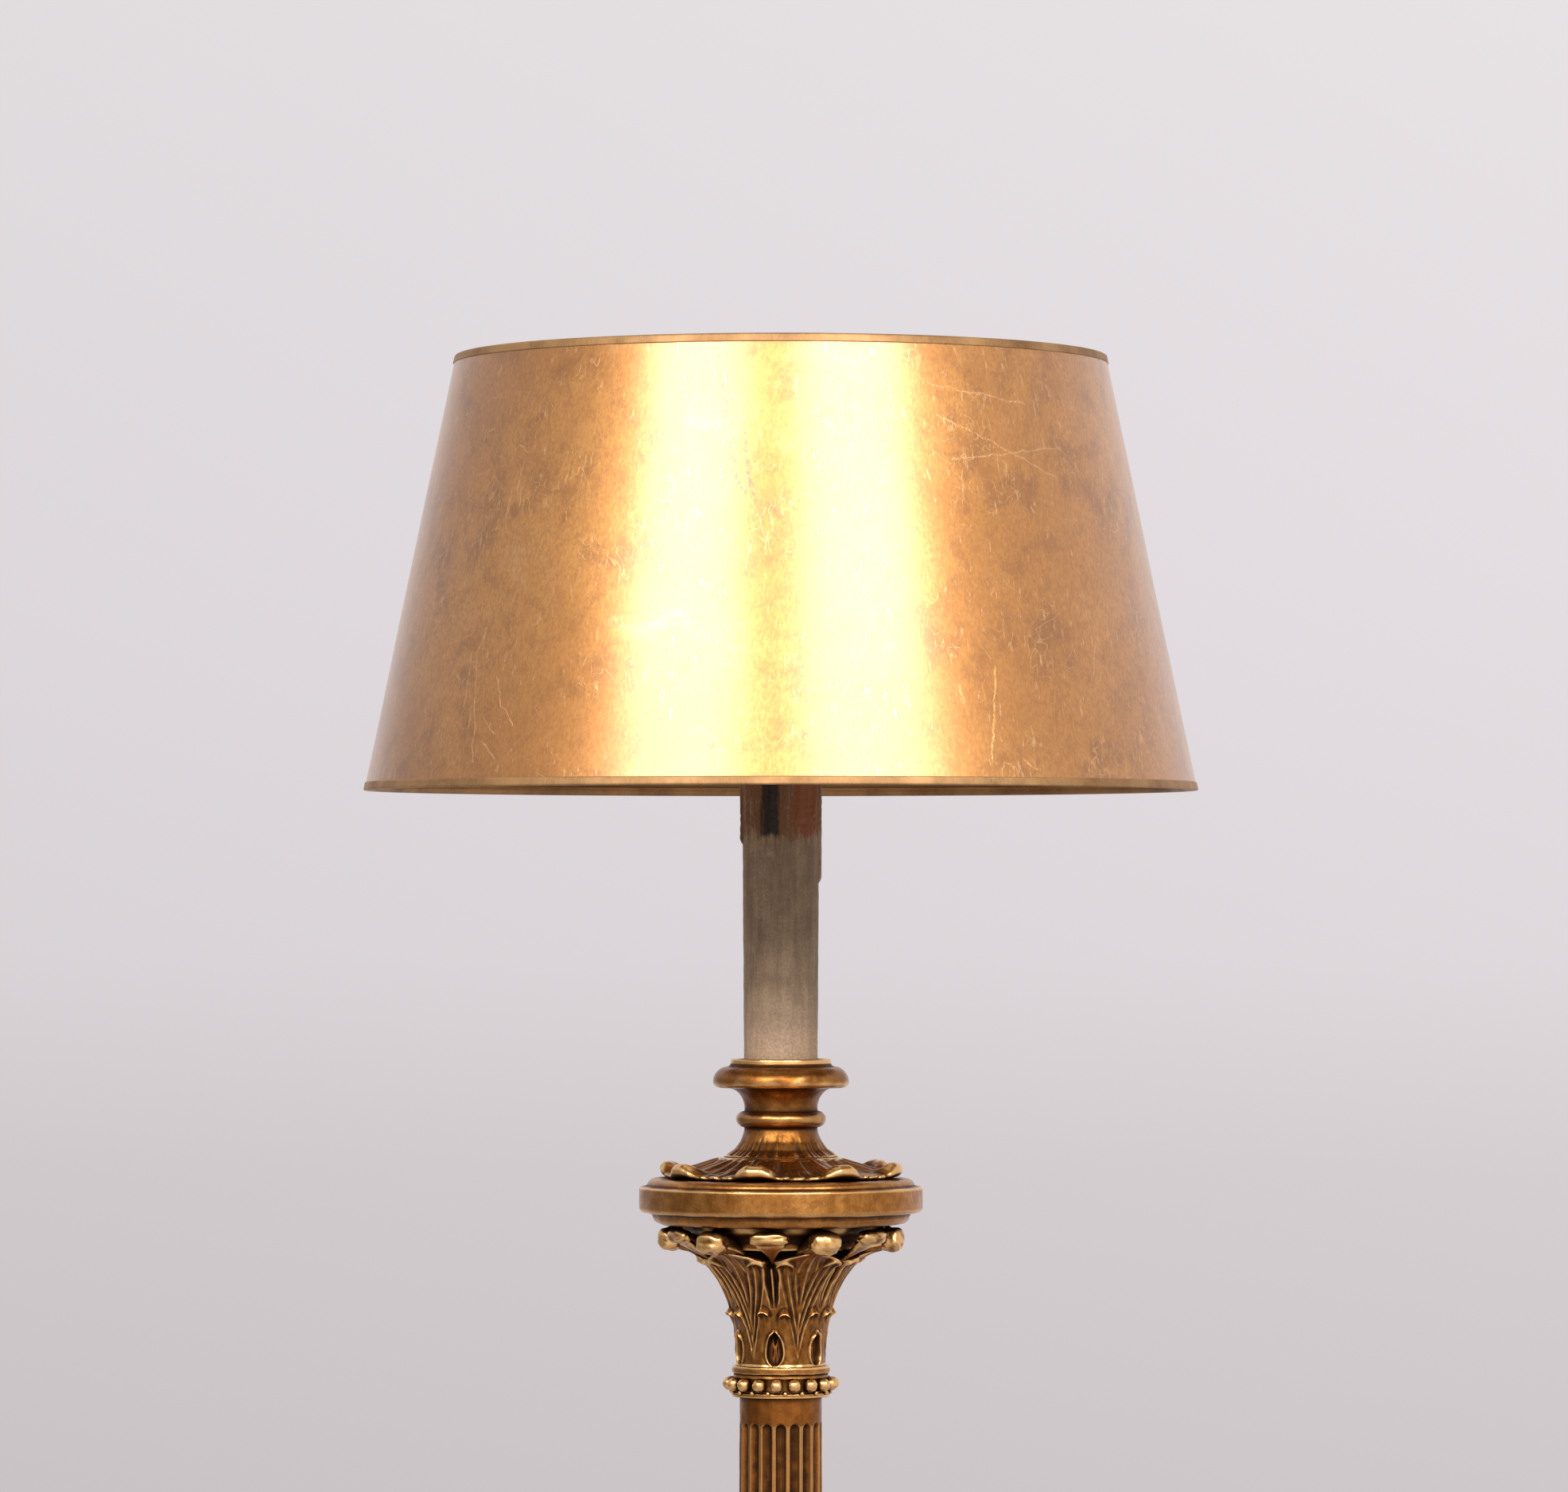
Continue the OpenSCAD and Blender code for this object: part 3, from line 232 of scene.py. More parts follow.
def leafShade(name, look):
    # beaten leaf on stiff card, rubbed, creased and torn in places
    finish = newFinish(name)
    side, front, up = finish.axes(finish.place())
    about = finish.maths("ARCTAN2", side, front) * look["radius"]
    flat = finish.node("CombineXYZ", None, {"X": about, "Y": up})
    waver, reach = finish.noise(9, 3, 0.6).named("Color"), look["waver"] * mm
    flat = finish.vector("MULTIPLY_ADD", {0: waver, 1: (reach, reach, 0), 2: flat})
    flat = finish.vector("SUBTRACT", {0: flat, 1: (reach / 2, reach / 2, 0)})

    def marks(kind, width):
        nearest = 1.0
        for line in shadeMarks[kind]:
            ends = [(math.radians(angle) * look["radius"], height * mm, 0.0) for angle, height in line]
            for start, end in zip(ends, ends[1:]):
                nearest = finish.maths("MINIMUM", finish.away(flat, start, end), nearest)
        return nearest.between(width * mm, width * 0.3 * mm)

    cloud = finish.noise(110, 3, 0.55)
    patch = finish.noise(34, 5, 0.62, bend=0.7)
    hair = finish.noise(1.5, 3, 0.7, stretch=(1, 1, 0.45))
    level = finish.noise(3, 3, 0.7, stretch=(0.16, 0.16, 1))
    curls = finish.noise(17, 2, 0.5, bend=0.8)
    worn = finish.noise(15, 5, 0.72, bend=0.4)
    dashes = (finish.noise(2.6, 4, 0.7, stretch=(1, 1, 0.13)) + patch * 0.25).between(0.72, 0.84)
    curl = finish.maths("ABSOLUTE", curls - 0.5).between(0.011, 0.002)
    curl = curl * (patch + hair * 0.35).between(0.66, 0.8)
    strokes = marks("strokes", 0.75) * (hair + level * 0.3).between(0.5, 0.75)
    torn = marks("torn", 1.9) * (hair + level * 0.6).between(0.74, 0.90)
    rubbed = finish.maths("MAXIMUM", strokes * 0.42, finish.maths("MAXIMUM", curl * 0.35, dashes * 0.55))
    colour = finish.layers(look["deep"], look, (
        (cloud.between(0.35, 0.65), "leaf"),
        ((patch * 0.6 + worn * 0.4).between(0.47, 0.66) * 0.62, "brown"),
        ((patch + level * 0.3).between(0.58, 0.36) * 0.3, "pale"),
        ((hair + worn * 0.4).between(0.5, 0.9) * 0.5, "brown"),
        (rubbed, "pale"),
        (torn * 0.55, "fleck")))
    broad = finish.bump(patch + cloud, look["wrinkle"])
    surface = finish.bump(hair * 0.5 + level * 0.2 + strokes * 2 + curl - torn, look["tooth"], broad)
    return finish.shine({
        "Base Color": colour, "Metallic": 1 - torn * 0.4, "Normal": surface,
        "Roughness": look["rough"] + patch * 0.1 + hair * 0.12 + torn * 0.2,
        "Coat Weight": 1.0, "Coat Roughness": 0.28, "Coat IOR": 1.7})


def waxCard(name, look):
    # a card candle dressed with wax, stained where smoke and dust caught it, with painted light making it paler towards
    # the foot, below the shade's shadow
    finish = newFinish(name)
    aside, ahead, up = finish.axes(finish.place())
    front = ahead.between(0.004, 0.008)
    cloud = finish.noise(14, 5, 0.65)
    runs = finish.noise(5, 5, 0.7, stretch=(1, 1, 0.1))
    fine = finish.noise(1.2, 3, 0.7)
    foot, head, paintedLightSpan, sooty = [[height * mm for height in look[kind]] for kind in ("foot", "head", "paintedLightSpan", "sooty")]
    stain = (up + runs * 0.03 + cloud * 0.012).between(*foot) * (up + runs * 0.01).between(*head)
    smear = finish.maths("ABSOLUTE", aside + runs * 0.008 + 0.0015).between(0.0062, 0.0035) * front
    smear = smear * (up + runs * 0.012).between(*sooty)
    colour = finish.layers(look["cream"], look, (
        ((cloud * 0.5 + runs * 0.5).between(0.38, 0.62), "grey"),
        # painted light: paler towards the foot, below the shade's shadow
        ((up + cloud * 0.02).between(*paintedLightSpan) * 0.75, "paintedLightTone"),
        ((fine + runs * 0.3).between(0.52, 0.82) * 0.45, "dust"),
        ((finish.relief() * -1 + fine * 0.3).between(0.2, 0.6) * 0.6, "dust"),
        (stain * (runs + fine * 0.2).between(0.42, 0.62, 0.45, 1.0), "stain"),
        (stain * front * (aside + runs * 0.006).between(0.007, 0.013) * 0.8, "rust"),
        (finish.maths("MAXIMUM", stain * runs.between(0.62, 0.72), smear), "soot")))
    return finish.shine({
        "Base Color": colour, "Roughness": 0.5 + fine * 0.25, "Normal": finish.bump(runs + fine * 0.6, 0.22),
        "Specular IOR Level": 0.35})


def grained(name, look):
    # a fine grain under a broad cloud: card, tape, metal, moulding and glaze
    finish = newFinish(name)
    grain, cloud = finish.noise(*look["grain"]), finish.noise(*look["cloud"])
    share = (cloud + grain * look["mixed"]).between(*look["spread"])
    return finish.shine({
        "Base Color": finish.blend(share, look["under"], look["over"]), "Metallic": look["metallic"],
        "Roughness": look["rough"] + grain * look["uneven"], "Normal": finish.bump(grain, look["tooth"])})


def metal(name, under, over, rough, metallic=1.0):
    return grained(name, {
        "grain": (1.2, 3, 0.7), "cloud": (24, 4, 0.6), "mixed": 0.3, "spread": (0.45, 0.85), "under": under,
        "over": over, "rough": rough, "uneven": 0.18, "metallic": metallic, "tooth": 0.03})


def felt(name):
    finish = newFinish(name)
    fibre = finish.noise(0.8, 5, 0.8)
    colour = finish.blend(fibre.between(0.3, 0.7), tint(0.05, 0.045, 0.04), tint(0.11, 0.10, 0.09))
    return finish.shine({"Base Color": colour, "Roughness": 0.95, "Normal": finish.bump(fibre, 0.4)})


def glass(name, base, rough, through):
    finish = newFinish(name)
    smear = finish.noise(18, 3, 0.6)
    return finish.shine({"Base Color": base, "Roughness": rough + smear * 0.1, "Transmission Weight": through,
                         "IOR": 1.5})


finishes = {
    "water_gilt_wood": giltWood("waterGiltWood", waterGilt),
    "rubbed_gilt_wood": giltWood("rubbedGiltWood", rubbedGilt),
    "felt": felt("footFelt"),
    "steel": metal("zincedSteel", tint(0.55, 0.55, 0.57), tint(0.36, 0.36, 0.37), 0.28),
    "ballast_iron": metal("castIron", tint(0.07, 0.07, 0.075), tint(0.035, 0.03, 0.03), 0.5, 0.6),
    "brass": metal("agedBrass", tint(0.62, 0.42, 0.15), tint(0.34, 0.21, 0.07), 0.22),
    "black_moulding": metal("blackMoulding", tint(0.022, 0.021, 0.02), tint(0.035, 0.033, 0.031), 0.3, 0.0),
    "glazed_ceramic": metal("glazedCeramic", tint(0.78, 0.76, 0.71), tint(0.70, 0.67, 0.61), 0.1, 0.0),
    "candle_card": waxCard("waxedCard", {
        "cream": tint(0.42, 0.30, 0.185), "grey": tint(0.26, 0.180, 0.108), "paintedLightTone": tint(0.58, 0.40, 0.27),
        "dust": tint(0.19, 0.125, 0.08), "stain": tint(0.19, 0.085, 0.033), "rust": tint(0.27, 0.085, 0.028),
        "soot": tint(0.022, 0.012, 0.008),
        # heights over which each stain, and the painted light at the foot, begins or ends
        "foot": (1358, 1368), "head": (1414, 1396), "paintedLightSpan": (1272, 1232), "sooty": (1345, 1349)}),
    "gold_leaf_card": leafShade("goldLeafCard", {
        "leaf": tint(0.67, 0.298, 0.056), "deep": tint(0.57, 0.236, 0.036), "pale": tint(0.86, 0.54, 0.24),
        "brown": tint(0.29, 0.106, 0.016), "fleck": tint(0.40, 0.20, 0.075), "radius": 0.2, "waver": 5,
        "wrinkle": 0.20, "tooth": 0.045, "rough": 0.31}),
    "gilt_tape": grained("giltTape", {
        "grain": (1.1, 3, 0.6, (1, 1, 0.3)), "cloud": (30, 4, 0.6), "mixed": 0.3, "spread": (0.4, 0.85),
        "under": tint(0.24, 0.122, 0.045), "over": tint(0.44, 0.25, 0.105), "rough": 0.42, "uneven": 0.2,
        "metallic": 0.75, "tooth": 0.12}),
    "frosted_glass": glass("frostedGlass", tint(0.9, 0.89, 0.86), 0.35, 0.7),
    "clear_glass": glass("clearGlass", tint(0.95, 0.96, 0.95), 0.03, 0.95),
    "nickelled_cap": metal("nickelledCap", tint(0.62, 0.60, 0.56), tint(0.42, 0.40, 0.37), 0.2),
}
shadeLining = grained("champagneLining", {
    "grain": (0.9, 2, 0.6, (1, 1, 3)), "cloud": (70, 3), "mixed": 0.2, "spread": (0.4, 0.75),
    "under": tint(0.56, 0.38, 0.19), "over": tint(0.66, 0.48, 0.27), "rough": 0.55, "uneven": 0.2,
    "metallic": 0.35, "tooth": 0.08})
carvedGilt = giltWood("carvedGilt", handledGilt)
print("finishes:", len(finishes) + 2)


# mesh making

def soft(value):
    # held between nought and 1, with no corner at either
    share = np.clip(value, 0, 1)
    return share * share * (3 - 2 * share)


def mix(start, end, share):
    return start + (end - start) * share


def taper(size, share):
    return mix(size["lowRadius"], size["topRadius"], share)


def ridge(distance, width):
    # 1 on the line and gone about two widths away
    return np.exp(-(distance / width) ** 2)


def keyed(share, stops):
    return np.interp(share, *zip(*stops))


def arc(place):
    # half an oval, 1 in the middle and nought at -1 and 1
    return np.sqrt(np.clip(1 - place ** 2, 0, 1))


def pairs(first, second):
    return np.stack([first, second], axis=1)


def allRound(steps):
    # angles of even steps, as one row
    return np.arange(steps)[None, :] * 360 / steps


def onRing(radius, height, angle):
    # a point at an angle in degrees from the front, counted towards +X
    radius, height, turn = np.broadcast_arrays(radius, height, np.radians(angle))
    return np.stack([radius * np.sin(turn), -radius * np.cos(turn), height], axis=-1)


def spun(line, angle):
    # a line of radius and height carried round the ring
    return onRing(line[:, 0:1], line[:, 1:2], angle)


def bend(x, z, across, up, start, end, count=10):
    # points of an oval bend about x, z
    turn = np.radians(np.linspace(start, end, count))
    return pairs(x + across * np.cos(turn), z + up * np.sin(turn))


def fineLine(pieces, step=0.5, wear=2):
    # an outline walked in small steps, its corners worn a little round
    corners = np.concatenate([np.atleast_2d(np.array(piece, float)) for piece in pieces])
    run = np.concatenate([[0], np.cumsum(np.hypot(*np.diff(corners, axis=0).T))])
    even = np.linspace(0, run[-1], max(3, int(run[-1] / step) + 1))
    line = pairs(np.interp(even, run, corners[:, 0]), np.interp(even, run, corners[:, 1]))
    for _ in range(wear):
        line[1:-1] = (line[:-2] + 2 * line[1:-1] + line[2:]) / 4
    return line


def alongAndOut(line):
    # unit normals of an outline, to the right of the way it runs up
    step = np.gradient(line, axis=0)
    step /= np.maximum(np.hypot(*step.T), 1e-9)[:, None]
    return pairs(step[:, 1], -step[:, 0])


def handWork(points, size, amount, seed):
    # the slight unevenness of work cut by hand
    rng = np.random.default_rng(seed)
    total = np.zeros(points.shape[:-1])
    for _ in range(7):
        way = rng.normal(size=3)
        way *= 2 * math.pi / (size * rng.uniform(0.6, 1.5)) / np.linalg.norm(way)
        total += np.sin(points @ way + rng.uniform(0, 2 * math.pi))
    return amount * total / 2.6


def shifted(grid, rowStep, columnStep, wrapRows):
    rows = np.arange(len(grid)) + rowStep
    rows = rows % len(grid) if wrapRows else np.clip(rows, 0, len(grid) - 1)
    return np.roll(grid[rows], -columnStep, axis=1)


def reliefOf(grid, reach, wrapRows):
    # how far each point stands above the points about it
    right = shifted(grid, 0, 1, wrapRows) - shifted(grid, 0, -1, wrapRows)
    up = shifted(grid, 1, 0, wrapRows) - shifted(grid, -1, 0, wrapRows)
    normal = np.cross(right, up)
    normal /= np.maximum(np.linalg.norm(normal, axis=-1, keepdims=True), 1e-9)
    total = np.zeros(grid.shape[:2])
    for span in reach:
        rowStep = max(1, round(span / max(0.02, np.median(np.linalg.norm(up, axis=-1)) / 2)))
        columnStep = max(1, round(span / max(0.02, np.median(np.linalg.norm(right, axis=-1)) / 2)))
        mean = sum(shifted(grid, rowStep * a, columnStep * b, wrapRows)
                   for a, b in ((1, 0), (-1, 0), (0, 1), (0, -1))) / 4
        total -= np.sum((mean - grid) * normal, axis=-1) / span
    return np.clip(3 * total / len(reach), -1, 1)


def placed(name, data):
    made = bpy.data.objects.new(name, data)
    bpy.context.scene.collection.objects.link(made)
    return made


class Carving:
    # closed shells gathered into one piece

    def __init__(self):
        self.points, self.faces, self.relief, self.parts = [], [], [], []
        self.count = 0

    def add(self, grid, wrapRows=False, part=0, reach=(1.2, 3.0)):
        rows, steps = grid.shape[:2]
        index = self.count + np.arange(rows * steps).reshape(rows, steps)
        low = index if wrapRows else index[:-1]
        high = np.roll(index, -1, axis=0) if wrapRows else index[1:]
        quads = np.stack([low, np.roll(low, -1, axis=1), np.roll(high, -1, axis=1), high], axis=-1)
        faces = quads.reshape(-1, 4).tolist()
        if not wrapRows:
            faces += [index[0][::-1].tolist(), index[-1].tolist()]
        self.points.append(grid.reshape(-1, 3))
        self.relief.append(reliefOf(grid, reach, wrapRows).ravel())
        self.faces += faces
        rowParts = np.broadcast_to(np.asarray(part), (len(low),))
        self.parts += np.repeat(rowParts, steps).tolist() + [0] * (len(faces) - low.size)
        self.count += rows * steps
        return self

    def piece(self, name, body, slotName, stoodFor, finishList=None):
        mesh = bpy.data.meshes.new(name)
        points = np.concatenate(self.points) * mm
        mesh.from_pydata(points.tolist(), [], self.faces)
        mesh.attributes.new("relief", "FLOAT", "POINT").data.foreach_set(
            "value", np.concatenate(self.relief).astype(np.float32))
        for finish in finishList or [finishes[slotName]]:
            mesh.materials.append(finish)
        mesh.polygons.foreach_set("material_index", np.array(self.parts, np.int32))
        mesh.shade_smooth()
        made = placed(name, mesh)
        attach(made, body)
        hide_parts(*stoodFor)
        print("piece:", name, len(self.faces), "faces")


def ringShell(line, hidden, steps, push, uneven, seed):
    # a turned outline, pushed in and out along its normals, and closed through its hidden side
    angle = allRound(steps)
    share = np.linspace(0, 1, len(line))[:, None]
    out = alongAndOut(line)
    amount = push(share, line[:, 1:2], angle) if push else np.zeros((1, steps))
    amount = amount + handWork(spun(line, angle), *uneven, seed) * soft(share * 12) * soft((1 - share) * 12)
    grid = onRing(line[:, 0:1] + out[:, 0:1] * amount, line[:, 1:2] + out[:, 1:2] * amount, angle)
    return np.concatenate([grid, spun(np.array(hidden, float), angle)])


def turned(name, node, line, hidden, steps, push, uneven, seed, slotName="rubbed_gilt_wood", body="root",
           reach=(1.2, 3.0), finishList=None):
    # a piece that is one shell
    Carving().add(ringShell(line, hidden, steps, push, uneven, seed), True, 0, reach).piece(
        name, body, slotName, [node], finishList)


def ball(edge, rows, steps):
    # a ball of radius 1, open by a hair at its two ends
    up, turn = np.radians(np.linspace(-edge, edge, rows))[:, None], np.radians(allRound(steps))
    return np.stack([np.cos(up) * np.cos(turn), np.cos(up) * np.sin(turn), np.sin(up) + 0 * turn], axis=-1)


def across(angle, count, turn):
    # from -1 to 1 over the part of the ring that belongs to the nearest leaf
    turns = (angle - turn) * count / 360
    return 2 * (turns - np.round(turns))


def leafLoft(spine, middle, half, front, thick, steps, backSteps):
    # a closed leaf along its spine of radius and height: front and thick take the share run and the place across
    share = np.linspace(0, 1, len(spine))[:, None]
    out = alongAndOut(spine)
    place = np.concatenate([np.sin(np.linspace(-90, 90, steps) * math.pi / 180),
                            np.sin(np.linspace(90, -90, backSteps + 2)[1:-1] * math.pi / 180)])[None, :]
    isFront = (np.arange(steps + backSteps) < steps)[None, :]
    edge = arc(place)
    rise = np.where(isFront, front(share, place), front(share, np.sign(place)) * (1 - edge) - thick(share) * edge)
    radius = spine[:, 0:1] + out[:, 0:1] * rise
    height = spine[:, 1:2] + out[:, 1:2] * rise
    angle = middle + np.degrees(place * half[:, None] / np.maximum(spine[:, 0:1], 8))
    return onRing(radius, height, angle)


# shade

shadeSize = {"low": 1365.55, "top": 1599.95, "lowRadius": 225.0, "topRadius": 176.0, "tape": 4.5, "tapeThick": 0.5,
             "skin": 0.8, "dents": 0.10, "wire": 3.0, "lap": 0.28, "lapAt": 184, "lapWide": 8}


def coneRadius(z):
    size = shadeSize
    return taper(size, (z - size["low"]) / (size["top"] - size["low"])) - size["tapeThick"]


def makeShade():
    size = shadeSize
    low, top = size["low"] + 0.55, size["top"] - 0.55
    heights = np.linspace(low, top, 90)
    outer = pairs(coneRadius(heights), heights)
    inner = pairs(coneRadius(heights[::-3]) - size["skin"], heights[::-3])
    inner[0, 1], inner[-1, 1] = top, low

    def overlap(share, z, angle):
        # the card laps over its own end at the back
        rim = soft(share * 9) * soft((1 - share) * 9)
        past = angle - size["lapAt"]
        return rim * (size["lap"] * soft((size["lapWide"] - np.abs(past)) / 0.25) * (past > 0))

    grid = ringShell(outer, inner, 480, overlap, (95, size["dents"]), 11)
    rows = np.where(np.arange(len(grid)) < len(outer), 0, 1)
    Carving().add(grid, True, rows, (4, 9)).piece(
        "shadeSkin", "shade", "gold_leaf_card", ["shade_skin"], [finishes["gold_leaf_card"], shadeLining])


def makeTape(name, node, rim, side, seed):
    # folded over the rim: side is 1 where the tape hangs down from it
    size = shadeSize
    end = rim - side * size["tape"]
    depth = size["skin"] + size["wire"] + 0.4
    out, thick = 0.05, size["tapeThick"]
    face = lambda z, far: [coneRadius(z) + far, z]
    line = fineLine([
        face(end, out), face(end, out + thick * 0.8), face(end + side * 0.4, out + thick),
        face(rim - side * 0.7, out + thick), face(rim - side * 0.2, out + thick * 0.6), face(rim, out - 0.3),
        face(rim, 0.3 - depth), face(rim - side * 0.2, -depth - thick * 0.6),
        face(rim - side * 0.7, -depth - thick)], 0.3, 2)
    angle = allRound(480)
    flap = np.full(480, size["tape"] - 0.6)
    if side > 0:
        # cut short over the arms of the fitter
        for arm in (0, 120, 240):
            flap = np.where(np.abs((angle[0] - arm + 180) % 360 - 180) < 1.3, 1.1, flap)
    inside = [(-depth - thick, 1.0), (-depth - thick * 0.4, 1.04), (-depth, 1.0), (-depth, 0.1)]
    grid = spun(line, angle)
    grid += handWork(grid, 11, 0.07, seed)[..., None] * onRing(1.0, 0.0, angle)
    heights = [rim - side * (thick + flap * down) for _, down in inside]
    inner = np.stack([onRing(coneRadius(z) + far, z, angle[0]) for z, (far, _) in zip(heights, inside)])
    fold = onRing(coneRadius(rim - side * thick) + np.array([[-1.2], [out]]), rim - side * thick, angle)
    grid = np.concatenate([grid, inner, fold])
    if side < 0:
        grid = grid[::-1]
    Carving().add(grid, True).piece(name, "shade", "gilt_tape", [node])


makeShade()
makeTape("topTape", "top_trim", shadeSize["top"], 1, 21)
makeTape("lowTape", "bottom_trim", shadeSize["low"], -1, 22)


# candle

candleSize = {"foot": 1214.1, "top": 1400.1, "lowRadius": 19.8, "topRadius": 21.0, "middleRadius": 20.5, "bore": 17.2,
              "crust": 0.06}
# angle, height where the run ends, width, how far it stands out
waxRuns = (
    (90, 1316, 6.0, 1.5), (-91, 1337, 5.2, 1.4), (-14, 1330, 4.2, 1.3), (31, 1348, 4.6, 1.4), (146, 1324, 5.2, 1.4),
    (-150, 1342, 4.8, 1.4), (62, 1351, 3.6, 0.9), (-52, 1345, 3.8, 1.0), (8, 1356, 3.4, 0.9), (115, 1361, 3.8, 1.0),
    (-118, 1366, 4.2, 1.1), (178, 1355, 4.4, 1.1), (-33, 1359, 3.0, 0.8), (70, 1372, 6.0, 1.0), (-75, 1370, 5.5, 1.0))


def makeCandle():
    size = candleSize
    heights = np.linspace(size["foot"], size["top"], 250)
    outer = pairs(taper(size, (heights - size["foot"]) / (size["top"] - size["foot"])), heights)
    inner = [(size["bore"], height) for height in (size["top"], 1300, size["foot"])]

    def wax(share, z, angle):
        total = 0
        for at, end, width, out in waxRuns:
            wander = 1.6 * np.sin((z - end) / 13 + at)
            aside = np.radians((angle - at - wander + 180) % 360 - 180) * size["middleRadius"]
            length = (z - end) / (width / 2)
            bulb = 1 + 0.35 * ridge(z - end - width * 0.5, width)
            half = width / 2 * (0.8 + 0.2 * soft((size["top"] - z) / 40)) * bulb
            drop = arc(aside / half) * np.sqrt(np.clip(length, 0, 1))
            total = np.maximum(total, out * (0.7 + 0.3 * bulb) / 1.1 * drop)
        worn = soft((z - 1338) / 6) * soft((1372 - z) / 6)
        pit = handWork(onRing(size["middleRadius"], z, angle), 3.4, 0.22, 33)
        return total + worn * np.minimum(pit, 0.05)

    turned("candleTube", "candle_tube", outer, inner, 380, wax, (9, size["crust"]), 31, "candle_card")


makeCandle()


# turned and carved pieces about the tie tube

boreRadius, tenonRadius, mortiseRadius = 5.5, 14.0, 14.2
tenonLong, mortiseDeep = 10.0, 10.2


def tenonAt(low, long):
    return [(boreRadius, low - long), (tenonRadius, low - long), (tenonRadius, low)]


def joinery(low, high):
    # the hidden side of a piece, from its top back down to its foot
    floor = high - mortiseDeep
    return [(mortiseRadius, high), (mortiseRadius, floor), (boreRadius, floor)] + tenonAt(low, tenonLong)


def folds(angle):
    # soft folds that run down the bell of the nozzle and out over the leaf skirt
    turn = np.radians(angle)
    wander = turn + 0.05 * np.sin(3 * turn + 1)
    return (np.cos(19 * wander + 0.6) + 0.7 * np.cos(31 * wander + 2.0) + 0.45 * np.cos(52 * turn + 4.0)) / 1.7


nozzleSize = {"foot": 1168.15, "high": 1221.0, "socket": 20.1, "socketDeep": 7, "tenon": 9, "folds": 0.55}


def makeNozzle():
    size = nozzleSize
    foot, high, floor = size["foot"], size["high"], size["high"] - size["socketDeep"]
    line = fineLine([
        [(30.9, foot), (24.9, 1172.0), (21.8, 1176.6), (20.1, 1181.0), (19.5, 1184.0)],
        bend(19.9, 1188.6, 4.5, 4.3, -85, 85), [(19.6, 1193.0), (19.8, 1193.6)],
        bend(28.6, 1193.9, 9.0, 11.4, 178, 97), [(33.9, 1205.7)], bend(34.0, 1208.4, 2.7, 2.6, -80, 0, 6),
        bend(28.6, 1208.6, 8.0, 8.2, 8, 80, 10),
        [(28.1, 1217.0), (27.2, 1218.0), (27.0, high - 0.3), (26.6, high)]], 0.4, 2)
    socket = [(size["socket"], high), (size["socket"], floor), (boreRadius, floor)] + tenonAt(foot, size["tenon"])
    drape = lambda share, z, angle: size["folds"] * folds(angle) * soft((1181 - z) / 9) * soft(share * 26)
    turned("candleNozzle", "candle_nozzle", line, socket + [(30.7, foot)], 480, drape, (12, 0.12), 41,
           "water_gilt_wood", finishList=[carvedGilt])


drumSize = {"foot": 1132.25, "high": 1156.75}


def makeDrum():
    foot, high = drumSize["foot"], drumSize["high"]
    line = fineLine([
        [(60.0, foot), (64.6, foot)], bend(64.6, 1136.4, 4.6, 4.1, -80, 0, 8), [(70.4, 1138.2), (72.0, 1138.5)],
        bend(73.8, 1141.1, 2.6, 2.6, -85, 0, 8), [(76.4, 1151.7), (75.9, 1152.2), (73.4, 1152.6), (72.2, 1152.9)],
        bend(67.8, 1153.0, 4.2, 3.6, 5, 85, 10), [(60.0, high)]], 0.4, 2)
    turned("drumPlate", "drum_plate", line, joinery(foot, high), 600, None, (22, 0.14), 42, "water_gilt_wood")


skirtSize = {"foot": 1156.85, "high": 1168.1, "leaves": 8, "firstLeaf": -13, "vein": 0.4, "folds": 0.75}


def makeSkirt():
    # the tips fold over into soft rolls and the edge between them ripples
    size = skirtSize
    foot, high, rows = size["foot"], size["high"], 110
    tip = fineLine([[(48.5, 0), (55.2, 1.0)], bend(62.0, 5.0, 4.6, 3.9, -120, 125, 14),
                    [(56.4, 5.2), (51.5, 5.2), (43.2, 7.6), (37.5, 9.4), (31.2, high - foot)]], 0.25, 3)
    dip = fineLine([[(48.5, 0), (53, 0.3)], bend(60.4, 1.35, 1.5, 1.25, -120, 120, 10),
                    [(54.6, 3.1), (50.1, 3.5), (42.2, 5.8), (36.6, 8.0), (31.0, high - foot)]], 0.25, 3)
    run = np.linspace(0, 1, rows)
    tip, dip = [pairs(*[np.interp(run, np.linspace(0, 1, len(line)), column) for column in line.T])
                for line in (tip, dip)]
    angle = allRound(720)
    place = across(angle, size["leaves"], size["firstLeaf"])
    share = run[:, None]
    roll = soft(1.18 - 1.75 * np.abs(place))
    ripple = (0.8 * np.cos(place * 6 * math.pi) + 0.35 * np.cos(place * 11 * math.pi + 1)) * (1 - roll)
    rim = soft(share * 5) * soft((0.72 - share) * 6)
    radius = mix(dip[:, 0:1], tip[:, 0:1], roll) + ripple * rim
    height = mix(dip[:, 1:2], tip[:, 1:2], roll) + foot + ripple * 0.3 * rim
    crease = ridge(place, 0.07) + 0.7 * ridge(np.abs(place) - 0.3, 0.06) + 0.5 * ridge(np.abs(place) - 0.62, 0.05)
    veins = size["vein"] * crease * soft((share - 0.4) * 8) - size["folds"] * folds(angle) * soft((share - 0.45) * 4)
    grid = onRing(radius, height - veins * soft((1 - share) * 12), angle)
    grid[..., 2] += handWork(grid, 14, 0.10, 43) * soft(share * 8) * soft((1 - share) * 8)
    inside = spun(np.array([(30.8, high), (boreRadius, high), (boreRadius, foot)]), angle)
    Carving().add(np.concatenate([grid, inside]), True).piece(
        "leafSkirt", "root", "water_gilt_wood", ["leaf_skirt"], [carvedGilt])


collarSize = {"tall": 16.4, "beads": 18, "bead": 3.5, "beadUp": 6.9, "bump": 1.3, "bumpUp": 2.7}


